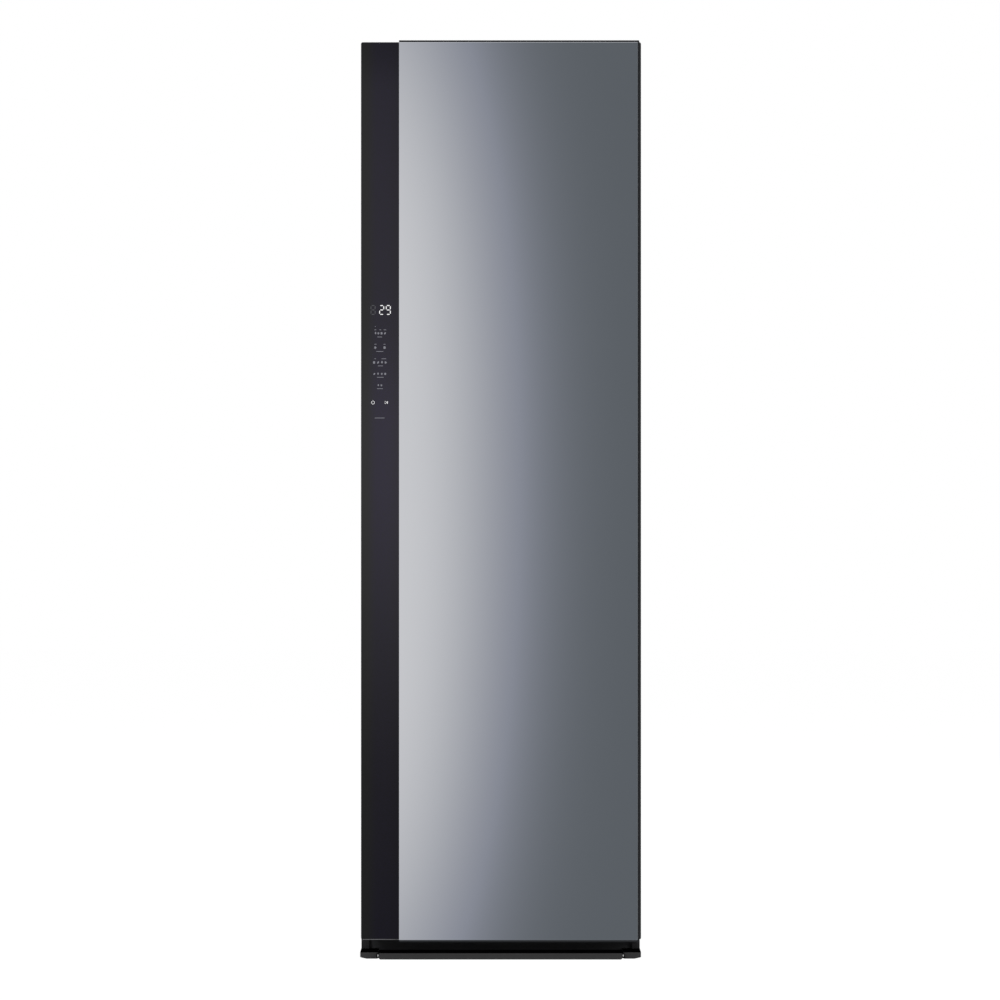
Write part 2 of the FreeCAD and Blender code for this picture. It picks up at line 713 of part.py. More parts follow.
plinth_back = front + s.plinth_bar_depth
cap_inner = right - s.plinth_cap_width
bar_half = cap_inner - s.plinth_slit
foot_x = right - s.foot_inset
foot_front = cabinet_front + s.foot_front_inset
foot_back = back - s.foot_back_inset

filter_front = bay_back + s.bay_wall + s.filter_gap
filter_back = filter_front + s.filter_depth
filter_middle = (filter_front + filter_back) / 2
holder_y = (filter_middle - s.holder_half_depth, filter_middle + s.holder_half_depth)
steam_y = bay_back + s.bay_wall + s.boiler_gap + s.boiler_radius
pump_front = cabinet_front + s.pump_setback
compressor_y = back - s.compressor_inset
blower_front = back - s.blower_setback
blower_back = blower_front + s.blower_depth
wheel_front = blower_front + s.blower_wall + s.wheel_gap
coil_left = s.blower_place - s.coil_half_width
coil_right = s.blower_place + s.coil_half_width
condenser_back = blower_front - s.coil_gap
condenser_front = condenser_back - s.coil_depth
evaporator_back = condenser_front - s.coil_gap
evaporator_front = evaporator_back - s.coil_depth
boiler_high = floor_low - s.boiler_drop


def symmetric(half):
    """The pair of places a half-width to each side of the middle."""
    return (-half, half)


def around(middle, half):
    """The pair of places a half-width to each side of a place."""
    return (middle - half, middle + half)


# ------------------------------------------------------------------ door

def grip_scoop(name, grow):
    """The side grip's channel, or that channel grown by the door's wall."""
    block = box(name + "_block", (door_left - s.grip_reach, grip_floor + grow),
                (grip_front - grow, cabinet_front), (s.door_foot - over, door_top + over))
    return rounded(name, block, s.grip_round + grow,
                   ("Z", lambda middle: middle.x > value(door_left) and middle.y < value(liner_front)))


def hinge_notch(name):
    """The room in the door's top corner that the top hinge turns in."""
    return box(name, (hinge_x - s.notch_reach, right + over), (hinge_y - s.notch_reach, cabinet_front),
               (notch_low, door_top + over))


def hinge_blocks():
    """Solid corners of the door that hold the hinge bushes."""
    x = (hinge_x - s.hinge_block_reach, cavity_right)
    y = (door_face + s.door_wall, liner_front)
    depth = bush_length + s.hinge_block_floor
    top = box("hinge_block_top", x, y, (notch_low - depth, cavity_high))
    low = box("hinge_block_low", x, y, (cavity_low, s.door_foot + depth))
    return top, low


def bush_rounds(name, radius):
    """The two rounds of the hinge bushes, or of their bores."""
    top = cylinder(name + "_top", (hinge_x, hinge_y, notch_low - bush_length), radius, bush_length)
    low = cylinder(name + "_low", (hinge_x, hinge_y, s.door_foot), radius, bush_length)
    return top, low


def display_window(name, y, play=0):
    x = (door_left + s.display_margin + play, strip_end - s.display_margin - play)
    return box(name, x, y, (s.display_low + play, s.display_high - play))


def make_door_shell():
    """The door's pan: the control glass's seat in front, the side grip on the left, open to the back."""
    block = box("shell_block", (door_left, right), (door_face, door_back), (s.door_foot, door_top))
    outer = rounded("shell_outer", block, s.door_corner, ("Y", anywhere),
                    ("Z", lambda middle: middle.x > 0 and middle.y > value(hinge_y)))
    height = (cavity_low, cavity_high)
    strip_cavity = box("strip_cavity", (door_left + s.door_wall, strip_end), (strip_skin, cabinet_front),
                       height)
    panel_cavity = box("panel_cavity", (strip_end, cavity_right), (door_face + s.door_wall, cabinet_front),
                       height)
    hollow = cut("shell_hollow", fuse("shell_cavities", strip_cavity, panel_cavity),
                 grip_scoop("grip_wall", s.door_wall), *hinge_blocks())
    seat_block = box("glass_seat_block", (door_left + s.strip_rim, strip_end), (door_face - over, glass_back),
                     (s.door_foot + s.strip_rim, door_top - s.strip_rim))
    seat = rounded("glass_seat", seat_block, s.door_corner - s.strip_rim,
                   ("Y", lambda middle: middle.x < value(strip_end - over)))
    window = display_window("display_window", (door_face, strip_skin + over))
    shell = cut("shell_cut", outer, hollow, seat, grip_scoop("grip_scoop", 0), hinge_notch("shell_notch"),
                window, *bush_rounds("bush_bore", bush_radius))
    publish("door_shell", shell)


def make_door_liner():
    """The moulded inner face of the door, and on it the rim that reaches into the chamber."""
    sheet_block = box("liner_sheet_block", (liner_left, cavity_right), (liner_front, door_back),
                      (cavity_low, cavity_high))
    sheet = rounded("liner_sheet", sheet_block, s.liner_sheet * 0.9,
                    ("Z", lambda middle: middle.x > 0 and middle.y > value(liner_front + over)))
    half = s.chamber_half_width - s.door_rim_inset
    low = s.chamber_floor_height + s.door_rim_inset
    high = ceiling - s.door_rim_inset
    wall = s.door_rim_wall
    rim_back = door_back + s.door_rim_height
    outer_block = box("rim_outer_block", symmetric(half), (door_back, rim_back), (low, high))
    outer = rounded("rim_outer", outer_block, s.liner_corner, ("Y", anywhere))
    inner_block = box("rim_inner_block", symmetric(half - wall), (door_back - over, rim_back + over),
                      (low + wall, high - wall))
    inner = rounded("rim_inner", inner_block, s.liner_corner - wall, ("Y", anywhere))
    rim = cut("liner_rim", outer, inner)
    publish("door_liner", group("door_liner_group", cut("liner_cut", sheet, hinge_notch("liner_notch")), rim))


def make_door_gasket():
    """The seal on the door's back, round the chamber and the tank bay."""
    half = s.chamber_half_width + s.gasket_margin
    low = s.bay_floor_height - s.gasket_margin
    high = ceiling + s.gasket_margin
    width = s.gasket_width
    outer_block = box("gasket_outer_block", symmetric(half + width),
                      (door_back, cabinet_front - s.gasket_play), (low - width, high + width))
    outer = rounded("gasket_outer", outer_block, s.liner_corner, ("Y", anywhere))
    inner_block = box("gasket_inner_block", symmetric(half), (door_back - over, cabinet_front), (low, high))
    inner = rounded("gasket_inner", inner_block, s.liner_corner - width, ("Y", anywhere))
    publish("door_gasket", cut("gasket_cut", outer, inner))


def make_door_foam():
    """The insulation inside the door, clear of the hinge blocks and the display."""
    filling = box("foam_block", (liner_left + s.foam_gap, hinge_x - s.hinge_block_reach),
                  (strip_skin, liner_front), (cavity_low, cavity_high))
    room = box("foam_room", (door_left, strip_end), (door_face, strip_skin + s.board_setback * 2),
               (s.display_low - s.display_margin, s.display_high + s.display_margin))
    publish("door_foam", cut("foam_cut", filling, room))


def make_control_glass():
    play = s.strip_rim + s.glass_play
    glass = plate("control_glass_body", "XZ_Plane", -glass_back, s.control_glass_thickness,
                  (door_left + play, strip_end), (s.door_foot + play, door_top - play))
    soften(glass, s.door_corner - s.strip_rim, ("Y", lambda middle: middle.x < value(strip_end - over)))
    publish("control_glass", glass)


def make_display_board():
    """The display's board with the light guide that fills the window up to the glass."""
    board_front = strip_skin + s.board_setback
    guide = display_window("light_guide", (glass_back, board_front), s.glass_play)
    edge = s.board_edge
    board = box("board_plate", (door_left + s.display_margin - edge, strip_end - s.display_margin + edge),
                (board_front, board_front + s.board_thickness), (s.display_low - edge, s.display_high + edge))
    publish("display_board", fuse("board_fused", guide, board))


def tray_room(name, y):
    """The hollow of the mirror's tray, behind the glass."""
    inset = s.panel_trim + s.tray_sheet
    return box(name, (strip_end + s.tray_sheet, panel_right - inset), y,
               (s.panel_foot + inset, s.overall_height - inset))


def make_panel_tray():
    """The shallow tray that carries the mirror glass on a ledge, open to the left at its front."""
    block = box("tray_block", (strip_end, panel_right), (front, door_face), (s.panel_foot, s.overall_height))
    outer = rounded("tray_outer", block, s.tray_sheet, ("Y", lambda middle: middle.x > 0))
    trim = s.panel_trim
    seat = box("mirror_seat", (strip_end - over, panel_right - trim), (front - over, mirror_back),
               (s.panel_foot + trim, s.overall_height - trim))
    hollow = tray_room("tray_hollow", (mirror_back - over, tray_floor))
    publish("panel_tray", cut("tray_cut", outer, seat, hollow))


def make_mirror_backing():
    """The stiff foam board between the mirror glass and the back of its tray."""
    publish("mirror_backing", tray_room("mirror_backing_board", (mirror_back, tray_floor)))


def make_mirror_glass():
    play = s.panel_trim + s.glass_play
    glass = plate("mirror_glass_body", "XZ_Plane", -mirror_back, s.mirror_thickness,
                  (strip_end, panel_right - play), (s.panel_foot + play, s.overall_height - play))
    publish("mirror_glass", glass)


def make_hinge_bushes():
    """Plastic bushes in the door's two hinge blocks, each open towards its hinge."""
    pin_room = s.hinge_pin_radius + s.running_play
    top, low = bush_rounds("bush_body", bush_radius)
    top_bore = cylinder("bush_hole_top", (hinge_x, hinge_y, notch_low - bush_length + over), pin_room,
                        bush_length)
    low_bore = cylinder("bush_hole_low", (hinge_x, hinge_y, s.door_foot - over), pin_room, bush_length)
    publish("door_hinge_bushes", group("bush_pair", cut("bush_top", top, top_bore),
                                       cut("bush_low", low, low_bore)))


def make_press_mount():
    """The fixed press pad on the door's inner face, with the two ears that carry the press plate."""
    height = (press_low, press_high)
    pad_block = box("press_pad_block", symmetric(s.press_half_width),
                    (door_back, door_back + s.press_backing), height)
    press_pad = rounded("press_pad", pad_block, s.press_backing / 2, ("Y", anywhere))
    pieces = [press_pad]
    gap = s.press_ear_gap
    tall = s.press_ear_height
    pin = s.press_pin_length
    top_ear = press_high + gap
    low_ear = press_low - gap - tall
    places = (("top", top_ear, top_ear - pin), ("low", low_ear, low_ear + tall))
    for name, ear_low, pin_low in places:
        ear_block = box(f"press_ear_block_{name}", around(press_x, s.press_ear_half),
                        (door_back, press_y + s.press_ear_half), (ear_low, ear_low + tall))
        ear = rounded(f"press_ear_{name}", ear_block, s.press_thickness / 2,
                      ("Z", lambda middle: middle.y > value(press_y)))
        pivot = cylinder(f"press_pin_{name}", (press_x, press_y, pin_low), s.press_pin_radius, pin)
        pieces.append(fuse(f"press_ear_fused_{name}", ear, pivot))
    publish("press_mount", group("press_mount_group", *pieces))


def make_press_plate():
    """The trouser press plate: round at its hinge edge, with a pull at its free edge."""
    block = box("press_block", (-s.press_half_width, press_x + s.press_thickness / 2),
                around(press_y, s.press_thickness / 2), (press_low, press_high))
    leaf = rounded("press_leaf", block, (s.press_thickness - s.press_edge_flat) / 2,
                   ("Z", lambda middle: middle.x > 0))
    middle_z = (press_low + press_high) / 2
    pull_block = box("press_pull_block", (-s.press_half_width - s.press_thickness, over - s.press_half_width),
                     around(press_y, s.press_thickness / 3), around(middle_z, s.press_tab))
    pull = rounded("press_pull", pull_block, s.press_thickness * 0.8, ("Y", lambda middle: middle.x < value(
        -s.press_half_width)))
    depth = s.press_pin_length + s.press_bore_end
    bore = s.press_pin_radius + s.running_play
    top = cylinder("press_bore_top", (press_x, press_y, press_high - depth), bore, depth)
    low = cylinder("press_bore_low", (press_x, press_y, press_low), bore, depth)
    publish("press_plate", cut("press_cut", fuse("press_fused", leaf, pull), top, low))


# ------------------------------------------------------------------ cabinet

def make_side_panels():
    """The two side panels, each with a return flange at the front and at the back."""
    z = (s.side_panel_foot, frame_high)
    panel = plate("side_panel_body", "YZ_Plane", inner_side, s.sheet, (cabinet_front, back), z)
    fronts = box("side_flange_front", (frame_half, inner_side), (cabinet_front, cabinet_front + s.sheet), z)
    backs = box("side_flange_back", (frame_half, inner_side), (inner_back, back), z)
    side = fuse("side_panel_fused", panel, fronts, backs)
    publish("side_panel_right", side)
    publish("side_panel_left", mirrored("side_panel_mirrored", side))


def make_top_panel():
    """The top panel with a lip down inside each side panel."""
    top = box("top_sheet", symmetric(cabinet_side), (cabinet_front, back), (frame_high, cabinet_top))
    lips = [box("top_lip_right", (inner_side - s.sheet, inner_side),
                (frame_back + s.top_lip_setback, inner_back), (frame_high - s.side_flange, cabinet_top))]
    lips.append(mirrored("top_lip_left", lips[0]))
    lips.append(box("top_lip_back", symmetric(inner_side), (inner_back - s.sheet, inner_back),
                    (frame_high - s.side_flange, cabinet_top)))
    publish("top_panel", fuse("top_fused", top, *lips))


def make_front_frame():
    """The steel front of the cabinet with the mouths of the chamber and of the tank bay."""
    frame = plate("front_frame_body", "XZ_Plane", -frame_back, s.frame_thickness,
                  symmetric(frame_half), (s.frame_foot, frame_high))
    for low, high, half in ((floor_low, ceiling, s.chamber_half_width),
                            (s.bay_floor_height, bay_ceiling, s.bay_half_width)):
        mouth = sketch_on(frame, "XZ_Plane", -cabinet_front)
        rectangle(mouth, symmetric(half), (low, high))
        pocket(frame, mouth, s.frame_thickness)
    half = value(s.chamber_half_width + over)
    high = value(ceiling)
    soften(frame, s.liner_corner, ("Y", lambda middle: abs(middle.x) < half
                                   and abs(middle.z - high) < value(over)))
    publish("front_frame", frame)


def make_chamber_liner():
    """The chamber's moulded panels: two sides with shelf studs, a back with the air outlet and a ceiling."""
    z = (floor_low, liner_top)
    side = box("liner_side", (s.chamber_half_width, liner_side), (frame_back, liner_back), z)
    back_sheet = box("liner_back_sheet", symmetric(s.chamber_half_width), (chamber_back, liner_back), z)
    outlet = box("liner_outlet", symmetric(s.duct_half_width), (chamber_back - over, liner_back + over),
                 (duct_low, duct_high))
    top_sheet = box("liner_top_sheet", symmetric(s.chamber_half_width), (frame_back, chamber_back),
                    (ceiling, liner_top))
    slot_half = s.arm_half_width + s.stroke + s.slot_play
    slots = [box(f"liner_slot_{name}", around(middle, slot_half),
                 around(hanger_y, s.arm_half_thickness + s.slot_play),
                 (ceiling - over, liner_top + over))
             for name, middle in (("right", s.arm_offset), ("left", -s.arm_offset))]
    panels = [side, mirrored("liner_side_left", side), cut("liner_back", back_sheet, outlet),
              cut("liner_top", top_sheet, *slots)]
    shelf_y = (cabinet_front + s.shelf_setback + chamber_back - s.shelf_play) / 2
    for name, y in (("front", shelf_y - s.stud_reach), ("back", shelf_y + s.stud_reach)):
        stud = prism(f"stud_{name}", (s.chamber_half_width - s.stud_length, y, shelf_low - s.stud_radius),
                     s.stud_radius, s.stud_length, SMALL_SIDES, "X")
        panels += [stud, mirrored(f"stud_left_{name}", stud)]
    publish("chamber_liner", group("liner_panels", *panels))


def floor_hole(name, middle, half, y):
    """A hole in the chamber's floor with play round the piece that drops in."""
    play = s.well_play
    return box(name, around(middle, half + play), (y[0] - play, y[1] + play), (floor_low - s.filter_drop,
                                                                             s.chamber_floor_height + over))


def make_chamber_floor():
    """The chamber's floor with the lint filter's well and the holes for steam and fragrance."""
    play = s.floor_play
    sheet = box("floor_sheet", symmetric(s.chamber_half_width - play), (frame_back, chamber_back - play),
                (floor_low, s.chamber_floor_height))
    wall = s.well_play + s.well_wall
    well = box("filter_well", symmetric(s.filter_half_width + wall),
               (filter_front - wall, filter_back + wall),
               (s.chamber_floor_height - s.filter_drop - s.well_wall, s.chamber_floor_height))
    filter_hole = floor_hole("filter_hole", 0, s.filter_half_width, (filter_front, filter_back))
    holder_hole = floor_hole("holder_hole", s.holder_middle, s.holder_half_width, holder_y)
    nozzle_hole = cylinder("nozzle_hole", (s.steam_place, steam_y, floor_low - over),
                           s.nozzle_stem + s.floor_play, s.floor_thickness + over * 2)
    publish("chamber_floor", cut("floor_cut", fuse("floor_fused", sheet, well), filter_hole, holder_hole,
                                 nozzle_hole))


def make_insulation():
    """Flat insulation on the liner's sides and back."""
    z = (rear_split + s.insulation, hanger_z)
    right_slab = box("insulation_right", (liner_side, liner_side + s.insulation),
                     (frame_back + s.insulation, liner_back - s.liner_corner), z)
    left_slab = mirrored("insulation_left", right_slab)
    back_slab = box("insulation_back", symmetric(liner_side - s.liner_corner),
                    (liner_back, liner_back + s.insulation), (duct_high + s.insulation, hanger_z))
    publish("insulation_panels", group("insulation_group", right_slab, left_slab, back_slab))


def make_tank_bay():
    """The tub for the two water tanks, with a rail between them and a socket behind each."""
    wall = s.bay_wall
    outer = box("bay_outer", symmetric(s.bay_half_width + wall), (frame_back, bay_back + wall),
                (s.bay_floor_height - wall, bay_ceiling + wall))
    inner = box("bay_inner", symmetric(s.bay_half_width), (cabinet_front - over, bay_back),
                (s.bay_floor_height, bay_ceiling))
    rail = box("bay_rail", symmetric(s.bay_rail), (tank_front, bay_back + over),
               (s.bay_floor_height - over, s.bay_floor_height + s.bay_rail_height))
    room = s.spout_radius + s.socket_play
    sockets = []
    bores = []
    for name, x in (("right", tank_middle), ("left", -tank_middle)):
        start = (x, bay_back - s.socket_length, spout_z)
        sockets.append(prism(f"socket_{name}", start, room + s.socket_wall, s.socket_length + wall,
                             SMALL_SIDES, "Y"))
        bores.append(cylinder(f"socket_bore_{name}", start, room, s.socket_length + wall + over, "Y"))
    tub = fuse("bay_fused", cut("bay_tub", outer, inner), rail, *sockets)
    publish("tank_bay", cut("bay_cut", tub, *bores))


def make_tanks():
    """The supply tank on the left and the drain tank on the right, each hollow with a finger pocket."""
    wall = s.tank_wall
    uprights = (("Z", anywhere),)
    outer_block = box("tank_outer_block", (tank_inner, tank_outer), (tank_front, tank_back),
                      (tank_low, tank_high))
    outer = rounded("tank_outer", outer_block, s.tank_corner, *uprights)
    inner_block = box("tank_inner_block", (tank_inner + wall, tank_outer - wall),
                      (tank_front + wall, tank_back - wall), (tank_low + wall, tank_high - wall))
    inner = bevelled("tank_inner", inner_block, s.tank_corner / 2, *uprights)
    grip_high = tank_high - s.grip_pocket_drop
    grip_low = grip_high - s.grip_pocket_height
    grip = box("tank_grip", around(tank_middle, s.grip_pocket_half),
               (tank_front - over, tank_front + s.grip_pocket_depth), (grip_low, grip_high))
    grip_wall = box("tank_grip_wall", around(tank_middle, s.grip_pocket_half + wall),
                    (tank_front - over, tank_front + s.grip_pocket_depth + wall),
                    (grip_low - wall, grip_high + wall))
    filler = cylinder("tank_filler", (tank_middle, cap_y, tank_high - wall - over),
                      s.cap_plug_radius + s.cap_play, wall + over * 2)
    spout = cylinder("tank_spout", (tank_middle, tank_back - wall, spout_z), s.spout_radius,
                     s.spout_length + wall, "Y")
    spout_hole = cylinder("tank_spout_hole", (tank_middle, tank_back - wall - over, spout_z),
                          s.spout_radius / 2, s.spout_length, "Y")
    hollow = cut("tank_hollow", inner, grip_wall)
    tank = cut("tank_cut", fuse("tank_fused", cut("tank_shell", outer, hollow, grip, filler), spout),
               spout_hole)
    publish("drain_tank", tank)
    publish("supply_tank", mirrored("tank_mirrored", tank))


def make_caps():
    """A quarter-turn cap on each tank."""
    base = tank_high + s.cap_play
    for label, x in (("drain_cap", tank_middle), ("supply_cap", -tank_middle)):
        disc = prism(label + "_disc", (x, cap_y, base), s.cap_radius, s.cap_height)
        plug = prism(label + "_plug", (x, cap_y, base - s.cap_plug_length), s.cap_plug_radius,
                     s.cap_plug_length + over)
        grip_block = box(label + "_grip_block", around(x, s.cap_plug_radius), around(cap_y, s.cap_grip_half),
                         (base + s.cap_height - over, base + s.cap_height + s.cap_grip_height))
        grip = bevelled(label + "_grip", grip_block, s.cap_grip_half * 0.9,
                        ("Y", lambda middle: middle.z > value(tank_high + s.cap_height)))
        publish(label, fuse(label + "_fused", disc, plug, grip))


def make_lint_filter():
    """The lint filter: a framed basket of bars that lies on the chamber's floor by its flange."""
    low = s.chamber_floor_height - s.filter_drop
    top = s.chamber_floor_height + s.flange_thickness
    reach = s.flange_reach
    half = s.filter_half_width
    body = box("filter_body", symmetric(half), (filter_front, filter_back), (low, top))
    flange = box("filter_flange", symmetric(half + reach), (filter_front - reach, filter_back + reach),
                 (s.chamber_floor_height, top))
    wall = s.filter_wall
    hollow = box("filter_hollow", symmetric(half - wall), (filter_front + wall, filter_back - wall),
                 (low + wall, top + over))
    windows = [box(f"filter_window_{number}", around(middle, s.filter_bar / 2 - wall / 2),
                   (filter_front - over, filter_back + over), (low + wall * 2,
                                                               s.chamber_floor_height - wall * 2))
               for number, middle in enumerate(steps(-half, half, s.filter_bar))]
    bridge = box("filter_bridge", symmetric(half - over), around(filter_middle, wall * 2),
                 (top - wall, top))
    basket = cut("filter_basket", fuse("filter_fused", body, flange), hollow, *windows)
    publish("lint_filter", fuse("filter_whole", basket, bridge))


def make_fragrance_holder():
    """The fragrance holder: a small tray that lies on the chamber's floor by its flange."""
    y = holder_y
    low = s.chamber_floor_height - s.holder_drop
    top = s.chamber_floor_height + s.flange_thickness
    reach = s.flange_reach
    wall = s.filter_wall
    body = box("holder_body", around(s.holder_middle, s.holder_half_width), y, (low, top))
    flange = box("holder_flange", around(s.holder_middle, s.holder_half_width + reach),
                 (y[0] - reach, y[1] + reach), (s.chamber_floor_height, top))
    hollow = box("holder_hollow", around(s.holder_middle, s.holder_half_width - wall),
                 (y[0] + wall, y[1] - wall), (low + wall, top + over))
    bar = box("holder_bar", around(s.holder_middle, wall), (y[0] + over, y[1] - over), (top - wall, top))
    tray = cut("holder_cut", fuse("holder_fused", body, flange), hollow)
    publish("fragrance_holder", fuse("holder_whole", tray, bar))


def make_steam_nozzle():
    """The steam nozzle: a low stepped cap on the chamber's floor, on a pipe up from the generator."""
    base = s.chamber_floor_height
    stem = prism("nozzle_stem", (s.steam_place, steam_y, boiler_high), s.nozzle_stem,
                 base - boiler_high + s.nozzle_height, SMALL_SIDES)
    disc = prism("nozzle_disc", (s.steam_place, steam_y, base), s.nozzle_radius, s.nozzle_height / 2)
    step = prism("nozzle_step", (s.steam_place, steam_y, base), s.nozzle_radius * 0.7, s.nozzle_height)
    publish("steam_nozzle", fuse("steam_nozzle_fused", stem, disc, step))


def make_air_outlet_grille():
    """The slatted grille in the chamber's back wall."""
    edge = s.grille_edge
    y = (chamber_back - s.grille_depth, chamber_back)
    z = (duct_low - edge, duct_high + edge)
    plate_block = box("grille_plate", symmetric(s.duct_half_width + edge), y, z)
    mouth = box("grille_mouth", symmetric(s.duct_half_width - edge), (y[0] - over, y[1] + over),
                (duct_low, duct_high))
    heights = steps(duct_low, duct_high, s.slat_pitch)
    slats = [box(f"grille_slat_{number}", symmetric(s.duct_half_width), y,
                 around(height, s.slat_thickness / 2)) for number, height in enumerate(heights)]
    publish("air_outlet_grille", fuse("grille_fused", cut("grille_frame", plate_block, mouth), *slats))


def make_shelf():
    """The lift-out shelf with its row of slots."""
    x = symmetric(s.chamber_half_width - s.shelf_play)
    y = (cabinet_front + s.shelf_setback, chamber_back - s.shelf_play - s.stud_length)
    block = box("shelf_block", x, y, (shelf_low, shelf_low + s.shelf_thickness))
    board = rounded("shelf_board", block, s.liner_corner, ("Z", anywhere))
    edge = s.shelf_edge
    slots = [box(f"shelf_slot_{number}", around(middle, s.shelf_slot / 2), (y[0] + edge, y[1] - edge),
                 (shelf_low - over, shelf_low + s.shelf_thickness + over))
             for number, middle in enumerate(steps(x[0] + edge, x[1] - edge, s.shelf_slot_pitch))]
    publish("shelf", cut("shelf_cut", board, *slots))


# ------------------------------------------------------------------ moving hanger

def make_hanger_bar():
    """The hanger bar with seats along its top that keep the hangers apart."""
    z = around(hanger_z, s.bar_half_height)
    block = box("bar_block", symmetric(s.bar_half_length), around(hanger_y, s.bar_half_thickness), z)
    bar = rounded("bar_round", block, s.bar_half_thickness * 0.9, ("X", anywhere))
    seats = [box(f"bar_seat_{number}", around(middle, s.hanger_seat_half),
                 around(hanger_y, s.bar_half_thickness + over), (z[1] - s.hanger_seat_depth, z[1] + over))
             for number, middle in enumerate(steps(-s.arm_offset + s.arm_half_width,
                                                   s.arm_offset - s.arm_half_width, s.hanger_seat_pitch))]
    publish("hanger_bar", cut("bar_cut", bar, *seats))


def make_hanger_arms():
    """The two arms that hold the hanger bar, up through the ceiling's slots to the carriage."""
    low = hanger_z + s.bar_half_height
    arm = box("hanger_arm", around(s.arm_offset, s.arm_half_width), around(hanger_y, s.arm_half_thickness),
              (low, carriage_low))
    publish("hanger_arms", group("hanger_arm_pair", arm, mirrored("hanger_arm_left", arm)))


def make_hanger_carriage():
    """The carriage: a plate with a bearing block round each guide rod and a slotted yoke for the crank."""
    base = box("carriage_plate", symmetric(carriage_half), around(hanger_y, s.guide_spacing + s.bearing_wall),
               (carriage_low, carriage_high))
    yoke_half = s.roller_radius + s.roller_play
    yoke_reach = s.stroke + yoke_half + s.yoke_end_gap
    yoke = box("yoke_block", symmetric(yoke_half + s.yoke_wall),
               around(hanger_y, yoke_reach + s.yoke_wall / 2), (carriage_high - over, yoke_high))
    slot = box("yoke_slot", symmetric(yoke_half), around(hanger_y, yoke_reach),
               (carriage_high, yoke_high + over))
    wall = s.guide_radius + s.bearing_wall
    blocks = []
    bores = []
    for row, y in zip(("front", "back"), around(hanger_y, s.guide_spacing)):
        bores.append(cylinder(f"bearing_bore_{row}", (-portal_half, y, guide_z),
                              s.guide_radius + s.running_play, portal_half * 2, "X"))
        for side, x in (("left", -s.bearing_place), ("right", s.bearing_place)):
            blocks.append(box(f"bearing_{row}_{side}", around(x, s.bearing_half_length), around(y, wall),
                              (carriage_high - over, guide_z + wall)))
    whole = fuse("carriage_fused", base, yoke, *blocks)
    publish("hanger_carriage", cut("carriage_cut", whole, slot, *bores))


def make_drive_frame():
    """The portal on the liner's ceiling: two end plates, the motor's bridge and the two guide rods."""
    y = around(hanger_y, s.bridge_half_depth)
    portal_reach = portal_half + s.bridge_thickness
    ends = box("portal_end", (portal_half, portal_reach), y, (liner_top, bridge_high))
    bridge = box("portal_bridge", symmetric(portal_reach), y, (bridge_low, bridge_high))
    hole = cylinder("portal_hole", (0, hanger_y, bridge_low - over), s.crank_shaft_radius * 2,
                    s.bridge_thickness + over * 2)
    rods = [cylinder(f"guide_rod_{number}", (-portal_reach, middle, guide_z), s.guide_radius,
                     portal_reach * 2, "X")
            for number, middle in enumerate(around(hanger_y, s.guide_spacing))]
    windows = [box(f"portal_window_{number}", around(middle, s.arm_offset / 4),
                   around(hanger_y, s.guide_spacing / 2), (bridge_low - over, bridge_high + over))
               for number, middle in enumerate((-s.bearing_place, s.bearing_place))]
    frame = cut("portal_cut", fuse("portal_fused", ends, mirrored("portal_end_left", ends), bridge), hole,
                *windows)
    publish("drive_frame", fuse("portal_whole", frame, *rods))


def make_hanger_motor():
    """The flat gear motor on the bridge, with the bore for the crank's shaft."""
    can = prism("hanger_motor_can", (0, hanger_y, bridge_high), s.motor_radius, s.motor_height)
    bore = cylinder("hanger_motor_bore", (0, hanger_y, bridge_high - over),
                    s.crank_shaft_radius + s.running_play, s.crank_shaft_length)
    publish("hanger_motor", cut("hanger_motor_cut", can, bore))


def make_drive_crank():
    """The crank: a disc on the motor's shaft with a roller that runs in the carriage's yoke."""
    disc = prism("crank_disc", (0, hanger_y, crank_low), s.crank_radius, s.crank_thickness)
    roller = cylinder("crank_roller", (0, hanger_y + s.stroke, crank_low - s.roller_length), s.roller_radius,
                      s.roller_length + over)
    shaft = cylinder("crank_shaft", (0, hanger_y, crank_high - over), s.crank_shaft_radius,
                     s.crank_shaft_length + over)
    publish("drive_crank", fuse("crank_fused", disc, roller, shaft))


# ------------------------------------------------------------------ hinges, plinth, base and back

def make_top_hinge():
    """The top hinge: a leaf on the cabinet's top, an arm out over the door and the pin down into it."""
    z = (cabinet_top, cabinet_top + s.hinge_plate)
    leaf = box("top_leaf", (hinge_x + s.hinge_arm_half - s.hinge_leaf_width, hinge_x + s.hinge_arm_half),
               (cabinet_front, cabinet_front + s.hinge_leaf_depth), z)
    arm = box("top_arm", around(hinge_x, s.hinge_arm_half), (hinge_y, cabinet_front + over), z)
    end = prism("top_arm_end", (hinge_x, hinge_y, z[0]), s.hinge_arm_half, s.hinge_plate)
    pin = cylinder("top_pin", (hinge_x, hinge_y, cabinet_top - s.hinge_pin_length), s.hinge_pin_radius,
                   s.hinge_pin_length + over)
    publish("top_hinge", fuse("top_hinge_fused", leaf, arm, end, pin))


